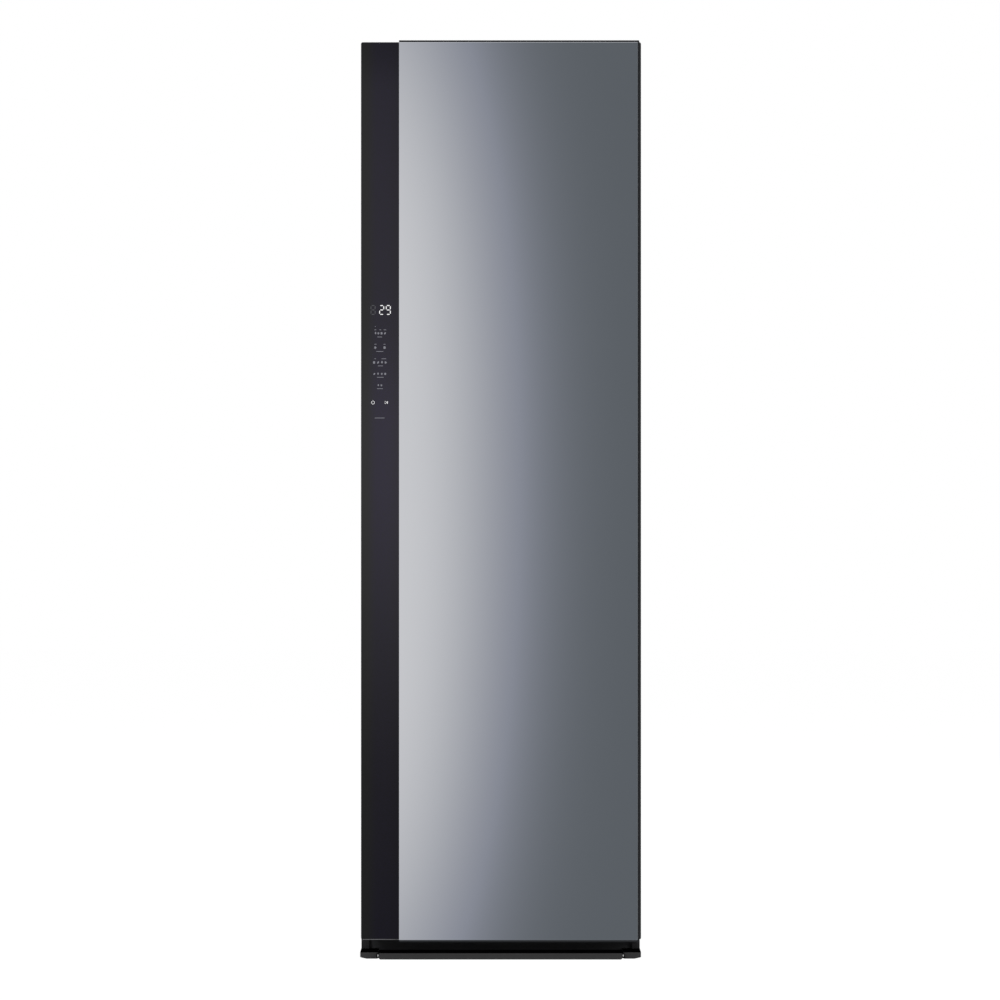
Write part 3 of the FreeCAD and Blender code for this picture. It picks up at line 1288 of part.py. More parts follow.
def make_top_hinge_cover():
    """The plastic cover over the top hinge's leaf and arm."""
    wall = s.hinge_cover_wall
    top = cabinet_top + s.hinge_plate + s.hinge_cover_height
    leaf_x = (hinge_x + s.hinge_arm_half - s.hinge_leaf_width - wall, hinge_x + s.hinge_arm_half + wall)
    leaf_y = (cabinet_front + wall, cabinet_front + s.hinge_leaf_depth + wall)
    body_block = box("hinge_cover_block", leaf_x, leaf_y, (cabinet_top, top))
    body = rounded("hinge_cover_body", body_block, s.hinge_cover_height / 2,
                   ("Z", lambda middle: middle.y > value(cabinet_front + s.hinge_cover_height)),
                   ("X", lambda middle: middle.z > value(top - over)
                    and middle.y > value(cabinet_front + s.hinge_cover_height)))
    plate_top = cabinet_top + s.hinge_plate
    nose = box("hinge_cover_nose", around(hinge_x, s.hinge_arm_half), (hinge_y, leaf_y[0] + over),
               (plate_top, top))
    tip = prism("hinge_cover_tip", (hinge_x, hinge_y, plate_top), s.hinge_arm_half, top - plate_top)
    room = box("hinge_cover_room", (leaf_x[0] + wall, leaf_x[1] - wall),
               (cabinet_front - over, leaf_y[1] - wall), (cabinet_top - over, plate_top))
    inside = box("hinge_cover_inside", (leaf_x[0] + wall * 2, leaf_x[1] - wall * 2),
                 (leaf_y[0] + wall, leaf_y[1] - wall * 2), (cabinet_top - over, top - wall))
    publish("top_hinge_cover", cut("hinge_cover_cut", fuse("hinge_cover_fused", body, nose, tip), room,
                                   inside))


def make_bottom_hinge():
    """The bottom hinge: a leg on the cabinet's front, an arm under the door, a shoulder and the pin."""
    x = around(hinge_x, s.hinge_arm_half)
    leg = box("bottom_leg", x, (cabinet_front - s.hinge_plate, cabinet_front),
              (arm_low, arm_low + s.hinge_leg_height))
    arm = box("bottom_arm", x, (hinge_y, cabinet_front), (arm_low, arm_high))
    end = prism("bottom_arm_end", (hinge_x, hinge_y, arm_low), s.hinge_arm_half, s.hinge_plate)
    shoulder = prism("bottom_shoulder", (hinge_x, hinge_y, arm_low), s.hinge_shoulder_radius,
                     s.hinge_plate + s.hinge_shoulder)
    pin = cylinder("bottom_pin", (hinge_x, hinge_y, arm_low), s.hinge_pin_radius,
                   s.hinge_plate + s.hinge_shoulder + s.hinge_pin_length)
    publish("bottom_hinge", fuse("bottom_hinge_fused", leg, arm, end, shoulder, pin))


def make_plinth():
    """The plinth: kick panel and tray, the bar in front and a cap at each corner."""
    kick = box("kick_panel", symmetric(frame_half), (cabinet_front, cabinet_front + s.kick_thickness),
               (s.plinth_shelf_low, s.frame_foot - s.kick_gap))
    tray = box("plinth_shelf", symmetric(cap_inner), (plinth_back, cabinet_front + over),
               (s.plinth_shelf_low, s.plinth_shelf_low + s.kick_thickness))
    publish("plinth_tray", fuse("plinth_tray_fused", kick, tray))

    bar_block = box("plinth_bar_block", symmetric(bar_half), (front, plinth_back),
                    (s.plinth_lift, s.plinth_height))
    bar = rounded("plinth_bar_round", bar_block, s.plinth_bar_round,
                  ("Y", lambda middle: middle.z < value(s.plinth_height) / 2))
    wall = s.plinth_wall
    bar_room = box("plinth_bar_room", symmetric(bar_half - wall), (front + wall, plinth_back + over),
                   (s.plinth_lift + wall, s.plinth_height - wall))
    publish("plinth_front_bar", cut("plinth_bar_cut", bar, bar_room))

    cap_block = doc.addObject("PartDesign::Body", "cap_block")
    cap_front = sketch_on(cap_block, "XZ_Plane", -cabinet_front)
    outline(cap_front, [(cap_inner, s.plinth_lift), (right - s.plinth_cap_run, s.plinth_lift),
                        (right, s.plinth_lift + s.plinth_cap_rise), (right, s.plinth_height),
                        (cap_inner, s.plinth_height)])
    pad(cap_block, cap_front, cabinet_front - plinth_back)
    cap_bevels = bevelled("cap_bevelled", cap_block, s.plinth_cap_bevel,
                          ("Z", lambda middle: middle.y < value(plinth_back + over)))
    room = box("cap_room", (cap_inner - over, right - wall - s.plinth_cap_bevel),
               (plinth_back + wall * 2, cabinet_front - wall), (0, s.plinth_height - wall))
    cap = cut("cap_cut", cap_bevels, room)
    publish("plinth_corner_caps", group("cap_pair", cap, mirrored("cap_left", cap)))


def foot_places():
    return [(f"levelling_foot_{depth}_{side}", x, y)
            for depth, y in (("front", foot_front), ("back", foot_back))
            for side, x in (("left", -foot_x), ("right", foot_x))]


def make_base_pan():
    """The base pan with upturned edges, and a nut for each levelling foot."""
    x = symmetric(inner_side)
    y = (cabinet_front + s.kick_thickness, inner_back)
    wall = s.pan_thickness
    outer = box("pan_outer", x, y, (s.pan_height, s.pan_height + s.pan_wall))
    inner = box("pan_inner", (x[0] + wall, x[1] - wall), (y[0] + wall, y[1] - wall),
                (pan_top, s.pan_height + s.pan_wall + over))
    nut_low = s.foot_pad + s.foot_nut_gap
    nuts = []
    bores = []
    for label, foot_at, y_at in foot_places():
        nuts.append(prism(label + "_nut", (foot_at, y_at, nut_low), s.foot_nut_radius, pan_top - nut_low,
                          NUT_SIDES))
        bores.append(cylinder(label + "_bore", (foot_at, y_at, nut_low - over),
                              s.foot_stem_radius + s.running_play, pan_top - nut_low + over * 2))
    publish("base_pan", cut("pan_cut", fuse("pan_fused", cut("pan_tray", outer, inner), *nuts), *bores))


def make_levelling_feet():
    """Four levelling feet, each a round pad with a nut for the spanner on a threaded stem."""
    for label, x, y in foot_places():
        pad_disc = prism(label + "_pad", (x, y, 0), s.foot_radius, s.foot_pad - s.foot_spanner_height)
        spanner = prism(label + "_spanner", (x, y, 0), s.foot_nut_radius, s.foot_pad, NUT_SIDES)
        stem = cylinder(label + "_stem", (x, y, 0), s.foot_stem_radius, s.foot_pad + s.foot_stem_length)
        publish(label, fuse(label + "_fused", pad_disc, spanner, stem))


def make_back_panel():
    """The back panel above the machine, stiffened by two upright beads."""
    panel = plate("back_panel_body", "XZ_Plane", -back, s.sheet, symmetric(frame_half),
                  (rear_split, frame_high))
    beads = [box(f"back_bead_{number}", around(middle, s.side_flange),
                 (inner_back - s.side_flange / 4, inner_back),
                 (rear_split + s.insulation, frame_high - s.insulation * 2))
             for number, middle in enumerate((-frame_half / 2, frame_half / 2))]
    publish("back_panel", fuse("back_panel_fused", panel, *beads))


def make_rear_cover():
    """The cover over the machine at the back, with louvres and the hole for the gland."""
    z = (s.pan_height + s.pan_wall / 4, rear_split - s.kick_gap)
    sheet = box("rear_sheet", symmetric(frame_half), (inner_back, back), z)
    louvres = [box(f"louvre_{number}", around(s.blower_place, s.louvre_half_width),
                   (inner_back - over, back + over), around(height, s.louvre_height / 2))
               for number, height in enumerate(steps(s.louvre_low, s.louvre_high, s.louvre_pitch))]
    hole = cylinder("gland_hole", (s.gland_place, inner_back - over, s.gland_height),
                    s.gland_radius + s.gland_play, s.sheet + over * 2, "Y")
    publish("rear_cover", cut("rear_cut", sheet, hole, *louvres))


def make_power_gland():
    """The gland that the mains lead passes through, with a square flange behind the rear cover."""
    ring = prism("gland_ring", (s.gland_place, back - s.gland_length, s.gland_height), s.gland_radius,
                 s.gland_length, SMALL_SIDES, "Y")
    reach = s.gland_radius + s.gland_flange
    flange = box("gland_flange", around(s.gland_place, reach), (inner_back - s.gland_flange, inner_back),
                 around(s.gland_height, reach))
    bore = cylinder("gland_bore", (s.gland_place, back - s.gland_length - over, s.gland_height),
                    s.gland_bore_radius, s.gland_length + over * 2, "Y")
    publish("power_gland", cut("gland_cut", fuse("gland_fused", ring, flange), bore))


# ------------------------------------------------------------------ machine behind the tank bay

def make_compressor():
    """The compressor: a can with a smaller lid, on rubber feet."""
    radius = s.compressor_radius
    low = pan_top + s.compressor_foot
    x = s.compressor_place
    can = prism("compressor_can", (x, compressor_y, low), radius, s.compressor_height - s.compressor_lid)
    lid = prism("compressor_lid", (x, compressor_y, low), radius * 0.85, s.compressor_height)
    feet = []
    for number, (across, along) in enumerate(((-0.65, -0.5), (0.65, -0.5), (0, 0.78))):
        start = (x + across * radius, compressor_y + along * radius, pan_top)
        feet.append(prism(f"compressor_foot_{number}", start, s.compressor_foot * 0.7,
                          s.compressor_foot + over, SMALL_SIDES))
    publish("compressor", fuse("compressor_fused", can, lid, *feet))


def make_coil(label, y):
    """A heat exchanger: a core with upright fins in front and behind."""
    z = (pan_top, pan_top + s.coil_height)
    block = box(label + "_block", (coil_left, coil_right), y, z)
    middle_y = (y[0] + y[1]) / 2
    tall = (pan_top + s.coil_gap, pan_top + s.coil_height - s.coil_gap)
    slots = []
    for number, middle in enumerate(steps(coil_left + s.coil_gap, coil_right - s.coil_gap, s.fin_pitch)):
        x = around(middle, s.fin_slot / 2)
        slots.append(box(f"{label}_slot_front_{number}", x, (y[0] - over, middle_y - s.coil_core / 2), tall))
        slots.append(box(f"{label}_slot_back_{number}", x, (middle_y + s.coil_core / 2, y[1] + over), tall))
    publish(label, cut(label + "_cut", block, *slots))


def make_blower_housing():
    """The blower's scroll with its inlet in front, on a stand, and the duct up to the air outlet."""
    wall = s.blower_wall
    centre = (s.blower_place, blower_front, s.blower_height)
    outlet_x = (s.blower_place - s.blower_radius, s.blower_place - s.blower_radius + s.blower_outlet_width)
    elbow_high = duct_low - s.duct_drop
    elbow_low = elbow_high - s.elbow_height
    elbow_y = (blower_front, liner_back + s.duct_depth)
    duct_y = (liner_back, liner_back + s.duct_depth)
    half = s.duct_half_width + wall
    outer = [
        prism("scroll_outer", centre, s.blower_radius, s.blower_depth, ROUND_SIDES, "Y"),
        box("riser_outer", outlet_x, (blower_front, blower_back), (s.blower_height, elbow_high)),
        box("elbow_outer", outlet_x, elbow_y, (elbow_low, elbow_high)),
        box("duct_outer", symmetric(half), duct_y, (elbow_low, duct_high + wall)),
    ]
    low = (s.blower_place, blower_front + wall, s.blower_height)
    outlet_room = (outlet_x[0] + wall, outlet_x[1] - wall)
    mouth_x = symmetric(half - wall)
    inner = [
        prism("scroll_inner", low, s.blower_radius - wall, s.blower_depth - wall * 2, ROUND_SIDES, "Y"),
        box("riser_inner", outlet_room, (low[1], blower_back - wall), (s.blower_height, elbow_high - wall)),
        box("elbow_inner", outlet_room, (low[1], elbow_y[1] - wall), (elbow_low + wall, elbow_high - wall)),
        box("duct_inner", mouth_x, (duct_y[0] + wall, duct_y[1] - wall), (elbow_low + wall, duct_high)),
        box("duct_mouth", mouth_x, (duct_y[0] - over, duct_y[0] + wall + over), (duct_low, duct_high)),
        prism("scroll_inlet", (s.blower_place, blower_front - over, s.blower_height), s.inlet_radius,
              wall + over * 2, ROUND_SIDES, "Y"),
        prism("scroll_shaft_hole", (s.blower_place, blower_back - wall - over, s.blower_height),
              s.shaft_hole_radius, wall + over * 2, SMALL_SIDES, "Y"),
    ]
    stands = [box(f"scroll_stand_{number}", around(s.blower_place + x * s.blower_radius, wall * 2),
                  (blower_front, blower_back), (pan_top, s.blower_height - s.blower_radius * 0.7))
              for number, x in enumerate((-0.55, 0.55))]
    ducts = cut("blower_cut", fuse("blower_outer", *outer), fuse("blower_inner", *inner))
    feet = [cut(f"stand_cut_{number}", stand, inner[0]) for number, stand in enumerate(stands)]
    publish("blower_housing", fuse("blower_whole", ducts, *feet))


def make_blower_wheel():
    """The blower wheel: a back plate and hub on the motor's shaft, leaning blades and a front ring."""
    outer = s.wheel_radius
    inner = outer - s.blade_length
    deep = s.wheel_depth
    thick = s.wheel_plate
    hub = s.wheel_hub_radius
    bore = s.wheel_shaft_radius
    body = doc.addObject("PartDesign::Body", "blower_wheel_body")
    plate_outline = sketch_on(body, "XY_Plane", deep - thick)
    polygon(plate_outline, outer, BLADES)
    polygon(plate_outline, hub - over, SMALL_SIDES)
    pad(body, plate_outline, thick)
    revolve(body, "wheel_hub", [(bore, deep / 3), (hub, deep / 3), (hub, deep), (bore, deep)])
    blade_section = sketch_on(body, "XY_Plane")
    half = s.blade_thickness / 2
    lean = s.blade_lean
    rim = outer - s.blade_inset
    outline(blade_section, [(inner, lean - half), (rim, -half), (rim, half),
                            (inner, lean + half)])
    blade = pad(body, blade_section, deep - thick)
    blades = body.newObject("PartDesign::PolarPattern", "wheel_blades")
    blades.Originals = [blade]
    blades.Axis = (next(line for line in body.Origin.OriginFeatures if line.Role == "Z_Axis"), [""])
    blades.Angle = CIRCLE
    blades.Occurrences = BLADES
    body.Tip = blades
    ring_outline = sketch_on(body, "XY_Plane")
    polygon(ring_outline, outer, BLADES)
    polygon(ring_outline, inner + s.wheel_ring_lap, BLADES)
    pad(body, ring_outline, thick)
    place(body, s.blower_place, wheel_front, s.blower_height, turn=TURNS["Y"])
    publish("blower_wheel", body)


def make_blower_motor():
    """The blower's motor behind the scroll, with the shaft that the wheel sits on."""
    can = prism("blower_motor_can", (s.blower_place, blower_back, s.blower_height), s.blower_motor_radius,
                s.blower_motor_length, ROUND_SIDES, "Y")
    shaft_front = wheel_front + s.wheel_depth / 3 - s.shaft_nose
    shaft = cylinder("blower_shaft", (s.blower_place, shaft_front, s.blower_height),
                     s.wheel_shaft_radius - s.running_play, blower_back - shaft_front + over, "Y")
    publish("blower_motor", fuse("blower_motor_fused", can, shaft))


def make_steam_generator():
    """The steam generator under the chamber's floor, hung on the nozzle's pipe."""
    publish("steam_generator", prism("steam_generator_can",
                                     (s.steam_place, steam_y, boiler_high - s.boiler_height),
                                     s.boiler_radius, s.boiler_height))


def make_water_pumps():
    """The supply pump and the drain pump, each on a saddle on the base pan."""
    pumps = []
    for name, x in (("drain", tank_middle), ("supply", -tank_middle)):
        can = prism(f"pump_can_{name}", (x, pump_front, pan_top + s.pump_radius + s.coil_gap),
                    s.pump_radius, s.pump_length, ROUND_SIDES, "Y")
        saddle = box(f"pump_saddle_{name}", around(x, s.pump_radius * 0.8),
                     (pump_front + s.coil_gap, pump_front + s.pump_length - s.coil_gap),
                     (pan_top, pan_top + s.pump_radius))
        pumps.append(fuse(f"pump_{name}", can, saddle))
    publish("water_pumps", group("pump_pair", *pumps))


def make_control_box():
    """The control electronics' box on the right side panel."""
    box_front = back - s.control_box_setback
    block = box("control_box_block", (inner_side - s.control_box_depth, inner_side),
                (box_front, box_front + s.control_box_length),
                (s.control_box_low, s.control_box_low + s.control_box_height))
    publish("control_box", rounded("control_box_round", block, s.control_box_corner, ("X", anywhere)))


def make_refrigerant_pipes():
    """The copper pipes between the compressor and the two heat exchangers."""
    bend = value(s.pipe_radius) * 4
    can_x = s.compressor_place + s.compressor_radius * 0.3
    can_top = pan_top + s.compressor_foot + s.compressor_height
    rise = s.compressor_radius * 0.6
    condenser_y = (condenser_front + condenser_back) / 2
    evaporator_y = (evaporator_front + evaporator_back) / 2
    high = pan_top + s.coil_height * 0.85
    low = pan_top + s.coil_height * 0.3
    hot = tube("pipe_hot", s.pipe_radius, bend, [
        (can_x, compressor_y, can_top), (can_x, compressor_y, can_top + rise),
        (can_x, condenser_y, can_top + rise), (can_x, condenser_y, high), (coil_left, condenser_y, high)])
    suction = tube("pipe_suction", s.pipe_radius, bend, [
        (s.compressor_place, compressor_y - s.compressor_radius, low),
        (s.compressor_place, evaporator_y, low), (coil_left, evaporator_y, low)])
    out = coil_right + s.compressor_radius * 0.5
    link = tube("pipe_link", s.pipe_radius, bend, [
        (coil_right, condenser_y, low), (out, condenser_y, low), (out, evaporator_y, low),
        (coil_right, evaporator_y, low)])
    publish("refrigerant_pipes", group("pipe_group", hot, suction, link))


def make_water_hoses():
    """The hoses from the bay's sockets to the pumps, and from the supply pump to the steam generator."""
    bend = value(s.hose_radius) * 2.5
    wall_back = bay_back + s.bay_wall
    behind = wall_back + s.hose_radius * 3
    pump_z = pan_top + s.pump_radius + s.coil_gap
    pump_back = pump_front + s.pump_length
    hoses = []
    for name, side in (("drain", 1), ("supply", -1)):
        hoses.append(tube(f"hose_{name}", s.hose_radius, bend, [
            (side * tank_middle, wall_back, spout_z), (side * tank_middle, behind, spout_z),
            (side * tank_middle, behind, pump_z), (side * tank_middle, pump_back, pump_z)]))
    feed_x = -tank_middle - s.pump_radius
    feed_y = pump_front + s.pump_length / 2
    hoses.append(tube("hose_feed", s.hose_radius, bend, [
        (feed_x, feed_y, pump_z), (s.steam_place - s.hose_radius, feed_y, pump_z),
        (s.steam_place - s.hose_radius, steam_y, pump_z),
        (s.steam_place - s.hose_radius, steam_y, boiler_high - s.boiler_height)]))
    publish("water_hoses", group("hose_group", *hoses))


# ------------------------------------------------------------------ build, check and write

def build():
    make_door_shell()
    make_door_liner()
    make_door_gasket()
    make_door_foam()
    make_control_glass()
    make_display_board()
    make_panel_tray()
    make_mirror_backing()
    make_mirror_glass()
    make_hinge_bushes()
    make_press_mount()
    make_press_plate()
    make_side_panels()
    make_top_panel()
    make_front_frame()
    make_chamber_liner()
    make_chamber_floor()
    make_insulation()
    make_tank_bay()
    make_tanks()
    make_caps()
    make_lint_filter()
    make_fragrance_holder()
    make_steam_nozzle()
    make_air_outlet_grille()
    make_shelf()
    make_hanger_bar()
    make_hanger_arms()
    make_hanger_carriage()
    make_drive_frame()
    make_hanger_motor()
    make_drive_crank()
    make_top_hinge()
    make_top_hinge_cover()
    make_bottom_hinge()
    make_plinth()
    make_base_pan()
    make_levelling_feet()
    make_back_panel()
    make_rear_cover()
    make_power_gland()
    make_compressor()
    make_coil("evaporator", (evaporator_front, evaporator_back))
    make_coil("condenser", (condenser_front, condenser_back))
    make_blower_housing()
    make_blower_wheel()
    make_blower_motor()
    make_steam_generator()
    make_water_pumps()
    make_control_box()
    make_refrigerant_pipes()
    make_water_hoses()
    doc.recompute()


def check():
    """Stops the build if any object failed or any sub-part has no sound shape."""
    failed = [made.Label for made in doc.Objects if {"Invalid", "Error"} & set(made.State)]
    if failed:
        raise ValueError(f"failed objects: {failed}")
    for label, made in nodes.items():
        if made.Shape.isNull() or not made.Shape.isValid() or not made.Shape.Solids:
            raise ValueError(f"{label} has no sound shape")


def write():
    os.makedirs("parts", exist_ok=True)
    for label, made in nodes.items():
        made.Shape.exportStep(os.path.join("parts", label + ".step"))


build()
check()
write()
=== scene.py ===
import math

import bpy
import numpy as np
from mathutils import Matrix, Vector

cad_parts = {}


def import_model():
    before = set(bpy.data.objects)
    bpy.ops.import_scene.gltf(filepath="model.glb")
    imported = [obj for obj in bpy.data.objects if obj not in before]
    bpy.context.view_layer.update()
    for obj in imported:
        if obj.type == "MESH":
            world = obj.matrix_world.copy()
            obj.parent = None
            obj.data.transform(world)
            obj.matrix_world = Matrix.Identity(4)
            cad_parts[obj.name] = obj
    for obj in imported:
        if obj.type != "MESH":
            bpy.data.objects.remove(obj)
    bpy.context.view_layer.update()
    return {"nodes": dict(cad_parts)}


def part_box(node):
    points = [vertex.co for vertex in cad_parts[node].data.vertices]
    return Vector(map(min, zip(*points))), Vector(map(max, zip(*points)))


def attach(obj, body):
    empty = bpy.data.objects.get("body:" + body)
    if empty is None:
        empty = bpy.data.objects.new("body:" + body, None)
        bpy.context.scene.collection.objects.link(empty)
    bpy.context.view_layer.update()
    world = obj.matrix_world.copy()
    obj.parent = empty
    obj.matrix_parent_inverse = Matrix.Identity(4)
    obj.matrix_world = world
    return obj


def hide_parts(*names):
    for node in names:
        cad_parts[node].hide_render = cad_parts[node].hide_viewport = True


# Clothes care steam cabinet, dressed over its fixed frame: a mirror door with a black glass control strip, a
# steam chamber with a moving hanger bar, a trouser press and two water tanks.
# Lengths are in metres, with +X to the right, +Y to the back and +Z up. The door faces -Y.

MM = 0.001
FULL_TURN = 2 * math.pi
HALF_TURN = math.pi
QUARTER_TURN = math.pi / 2

# ------------------------------------------------------------------ camera, stage and light

IMAGE_WIDTH = 1000
SENSOR = 36.0
PIXELS_PER_METRE = 469.08
CAMERA_TO_MIRROR = 7.5
CAMERA_PLACE = (-0.00124, -7.798, 0.980)

CARD_DISTANCE = -12.0
CARD_X = (-2.2, 2.2)
CARD_Z = (-2.8, 4.8)
CARD_FADE = 0.5
GLOW_X = -0.573
GLOW_Z = 1.09
GLOW_WIDTH = 0.41
GLOW_BOW = 0.0335
GLOW_FALL = 0.0105
GLOW_SHADES = ((0.0, (0.143, 0.157, 0.169)), (0.25, (0.335, 0.350, 0.395)), (1.0, (0.807, 0.800, 0.796)))
FLOOR_SIZE = 30.0
FLOOR_GREY = 0.78
FLOOR_WHITENESS = 0.90
FLOOR_GLOW = 1.06

AMBIENT = 0.55
LAMPS = (
    # name, place, point it is aimed at, width, height, watts
    ("key", (-3.2, -4.2, 3.6), (0, 0, 1.0), 2.4, 2.4, 150),
    ("fill", (3.6, -3.6, 2.2), (0, 0, 1.0), 2.6, 2.6, 90),
    ("top", (0.0, 0.4, 5.0), (0, 0, 1.0), 2.6, 2.6, 70),
    ("back", (1.8, 4.6, 3.0), (0, 0, 1.0), 2.6, 2.6, 100),
)


def make_camera():
    data = bpy.data.cameras.new("front_camera")
    data.sensor_width = SENSOR
    data.lens = SENSOR * PIXELS_PER_METRE * CAMERA_TO_MIRROR / IMAGE_WIDTH
    camera = bpy.data.objects.new("front_camera", data)
    camera.location = CAMERA_PLACE
    camera.rotation_euler = (QUARTER_TURN, 0, 0)
    bpy.context.scene.collection.objects.link(camera)
    bpy.context.scene.camera = camera


def make_lamps():
    """Large soft lamps; glossy surfaces show the white surroundings instead of them."""
    for name, place, aim, width, height, watts in LAMPS:
        data = bpy.data.lights.new(name, "AREA")
        data.shape = "RECTANGLE"
        data.size = width
        data.size_y = height
        data.energy = watts
        lamp = bpy.data.objects.new(name, data)
        lamp.location = place
        away = np.array(place) - np.array(aim)
        flat = math.hypot(away[0], away[1])
        lamp.rotation_euler = (math.atan2(flat, away[2]), 0, math.atan2(away[1], away[0]) + QUARTER_TURN)
        lamp.visible_glossy = False
        bpy.context.scene.collection.objects.link(lamp)


# ------------------------------------------------------------------ shader maths and finishes

class Link:
    """A node's output that can stand in an expression; each operator adds its Math node."""

    def __init__(self, finish, socket):
        self.finish = finish
        self.socket = socket

    def maths(self, operation, *values):
        return self.finish.node("Math", {"operation": operation}, dict(enumerate(values)))

    def __add__(self, other):
        return self.maths("ADD", self, other)

    def __radd__(self, other):
        return self.maths("ADD", other, self)

    def __sub__(self, other):
        return self.maths("SUBTRACT", self, other)

    def __rsub__(self, other):
        return self.maths("SUBTRACT", other, self)

    def __mul__(self, other):
        return self.maths("MULTIPLY", self, other)

    def __rmul__(self, other):
        return self.maths("MULTIPLY", other, self)

    def exp(self):
        return self.maths("EXPONENT", self)

    def sine(self):
        return self.maths("SINE", self)

    def size(self):
        return self.maths("ABSOLUTE", self)

    def most(self, other):
        return self.maths("MAXIMUM", self, other)

    def over(self, limit):
        return self.maths("GREATER_THAN", self, limit)

    def step(self, low, high):
        """0 below the low value and 1 above the high one, with a smooth rise between them."""
        return self.finish.node("MapRange", {"interpolation_type": "SMOOTHSTEP"},
                                {"Value": self, "From Min": low, "From Max": high})


class Finish:
    """A material's node tree. node() adds any node: its settings first, then its sockets' values or links."""

    def __init__(self, name, tree=None):
        if tree is None:
            self.material = bpy.data.materials.new(name)
            self.material.use_nodes = True
            tree = self.material.node_tree
        self.tree = tree

    def node(self, kind, settings=None, values=None, output=0):
        made = self.tree.nodes.new("ShaderNode" + kind)
        for name, setting in (settings or {}).items():
            if name == "stops":
                self.set_stops(made.color_ramp, setting)
            else:
                setattr(made, name, setting)
        for name, value in (values or {}).items():
            self.feed(made.inputs[name], value)
        return Link(self, made.outputs[output])

    def feed(self, socket, value):
        if isinstance(value, Link):
            self.tree.links.new(value.socket, socket)
        else:
            socket.default_value = value

    def set_stops(self, ramp, stops):
        while len(ramp.elements) < len(stops):
            ramp.elements.new(0.5)
        for element, (position, colour) in zip(ramp.elements, stops):
            element.position = position
            element.color = (*colour, 1)

    def surface(self, values):
        """Sets the Principled shader's sockets."""
        shader = self.tree.nodes["Principled BSDF"]
        for name, value in values.items():
            self.feed(shader.inputs[name], (*value, 1) if isinstance(value, tuple) else value)
        return self.material

    def place(self):
        return self.node("TexCoord", output="Object")

    def axes(self):
        """The three Object coordinates as values."""
        apart = self.node("SeparateXYZ", values={0: self.place()})
        sockets = apart.socket.node.outputs
        return [Link(self, sockets[number]) for number in range(3)]

    def noise(self, scale, detail=2.0, stretch=(1, 1, 1)):
        place = self.node("Mapping", values={"Vector": self.place(), "Scale": stretch})
        return self.node("TexNoise", values={"Vector": place, "Scale": scale, "Detail": detail})

    def cells(self, scale, output=0):
        return self.node("TexVoronoi", {"feature": "F1"}, {"Vector": self.place(), "Scale": scale}, output)

    def blend(self, factor, first, second):
        """A colour between two others, by a value."""
        colours = [value if isinstance(value, Link) else (*value, 1) for value in (first, second)]
        return self.node("Mix", {"data_type": "RGBA"}, {0: factor, 6: colours[0], 7: colours[1]}, output=2)

    def tones(self, factor, colour, first, second):
        """A blend between two shares of one colour's light."""
        tones = [tuple(part * share for part in colour) for share in (first, second)]
        return self.blend(factor, *tones)

    def bump(self, height, distance):
        return self.node("Bump", values={"Strength": 1.0, "Distance": distance, "Height": height})


def moulded_plastic(name, colour, roughness, grain=0.04 * MM, coat=0.0):
    """Moulded plastic: a fine spark-worn grain, a slow drift of shade and duller patches."""
    finish = Finish(name)
    drift = finish.noise(6.0, 3.0)
    grains = finish.noise(1100.0, 3.0)
    patches = finish.noise(45.0)
    return finish.surface({
        "Base Color": finish.tones(drift * 0.7 + grains * 0.3, colour, 0.90, 1.08),
        "Roughness": patches * 0.12 + (roughness - 0.06),
        "Coat Weight": coat,
        "Normal": finish.bump(grains, grain)})


def plinth_with_painted_shade(name, colour, low=9.8 * MM, high=10.8 * MM, above=False):
    """Dull plinth plastic with painted shade: near-black below a height, or above it, where shadow falls."""
    finish = Finish(name)
    _, _, height = finish.axes()
    grains = finish.noise(1100.0, 3.0)
    drift = finish.noise(6.0, 3.0)
    face = finish.tones(drift * 0.6 + grains * 0.4, colour, 0.86, 1.14)
    # Painted shade: the base colour turns near-black past this height.
    rise = height.step(low, high)
    return finish.surface({
        "Base Color": finish.blend(rise if above else 1 - rise, face, (0.0006, 0.0006, 0.0006)),
        "Roughness": grains * 0.1 + 0.8,
        "Specular IOR Level": 0.0,
        "Normal": finish.bump(grains, 0.04 * MM)})


def powder_coat(name, colour, roughness=0.42, coat=0.15, shine=0.5):
    """Powder coat on steel: a low orange-peel skin over fine grains."""
    finish = Finish(name)
    peel = finish.noise(420.0, 1.0)
    grains = finish.noise(2600.0)
    drift = finish.noise(3.0)
    return finish.surface({
        "Base Color": finish.tones(drift * 0.6 + grains * 0.4, colour, 0.88, 1.12),
        "Roughness": grains * 0.14 + (roughness - 0.07),
        "Specular IOR Level": shine,
        "Coat Weight": coat,
        "Coat Roughness": 0.25,
        "Normal": finish.bump(peel * 0.7 + grains * 0.3, 0.06 * MM)})


def brushed_metal(name, colour, roughness, lines=2400.0, along_x=False):
    """Brushed metal: long fine lines up it or along X that change its shade, gloss and relief."""
    finish = Finish(name)
    stretch = (0.02, 1, 1) if along_x else (1, 1, 0.02)
    hairs = finish.noise(lines, 3.0, stretch)
    bands = finish.noise(lines / 14, 2.0, stretch)
    return finish.surface({
        "Base Color": finish.tones(hairs * 0.6 + bands * 0.4, colour, 0.82, 1.14),
        "Roughness": hairs * 0.18 + bands * 0.08 + (roughness - 0.13),
        "Metallic": 1.0,
        "Normal": finish.bump(hairs, 0.012 * MM)})


def zinc_sheet(name, colour):
    """Galvanised steel: flat crystals a few millimetres wide, each with its own shade and gloss."""
    finish = Finish(name)
    shade = finish.node("SeparateColor", values={0: finish.cells(170.0, "Color")})
    rolled = finish.noise(900.0, 2.0, (0.05, 0.05, 1))
    return finish.surface({
        "Base Color": finish.tones(shade, colour, 0.90, 1.06),
        "Roughness": shade * 0.12 + rolled * 0.08 + 0.36,
        "Metallic": 0.5,
        "Normal": finish.bump(shade * 0.5 + rolled * 0.5, 0.01 * MM)})


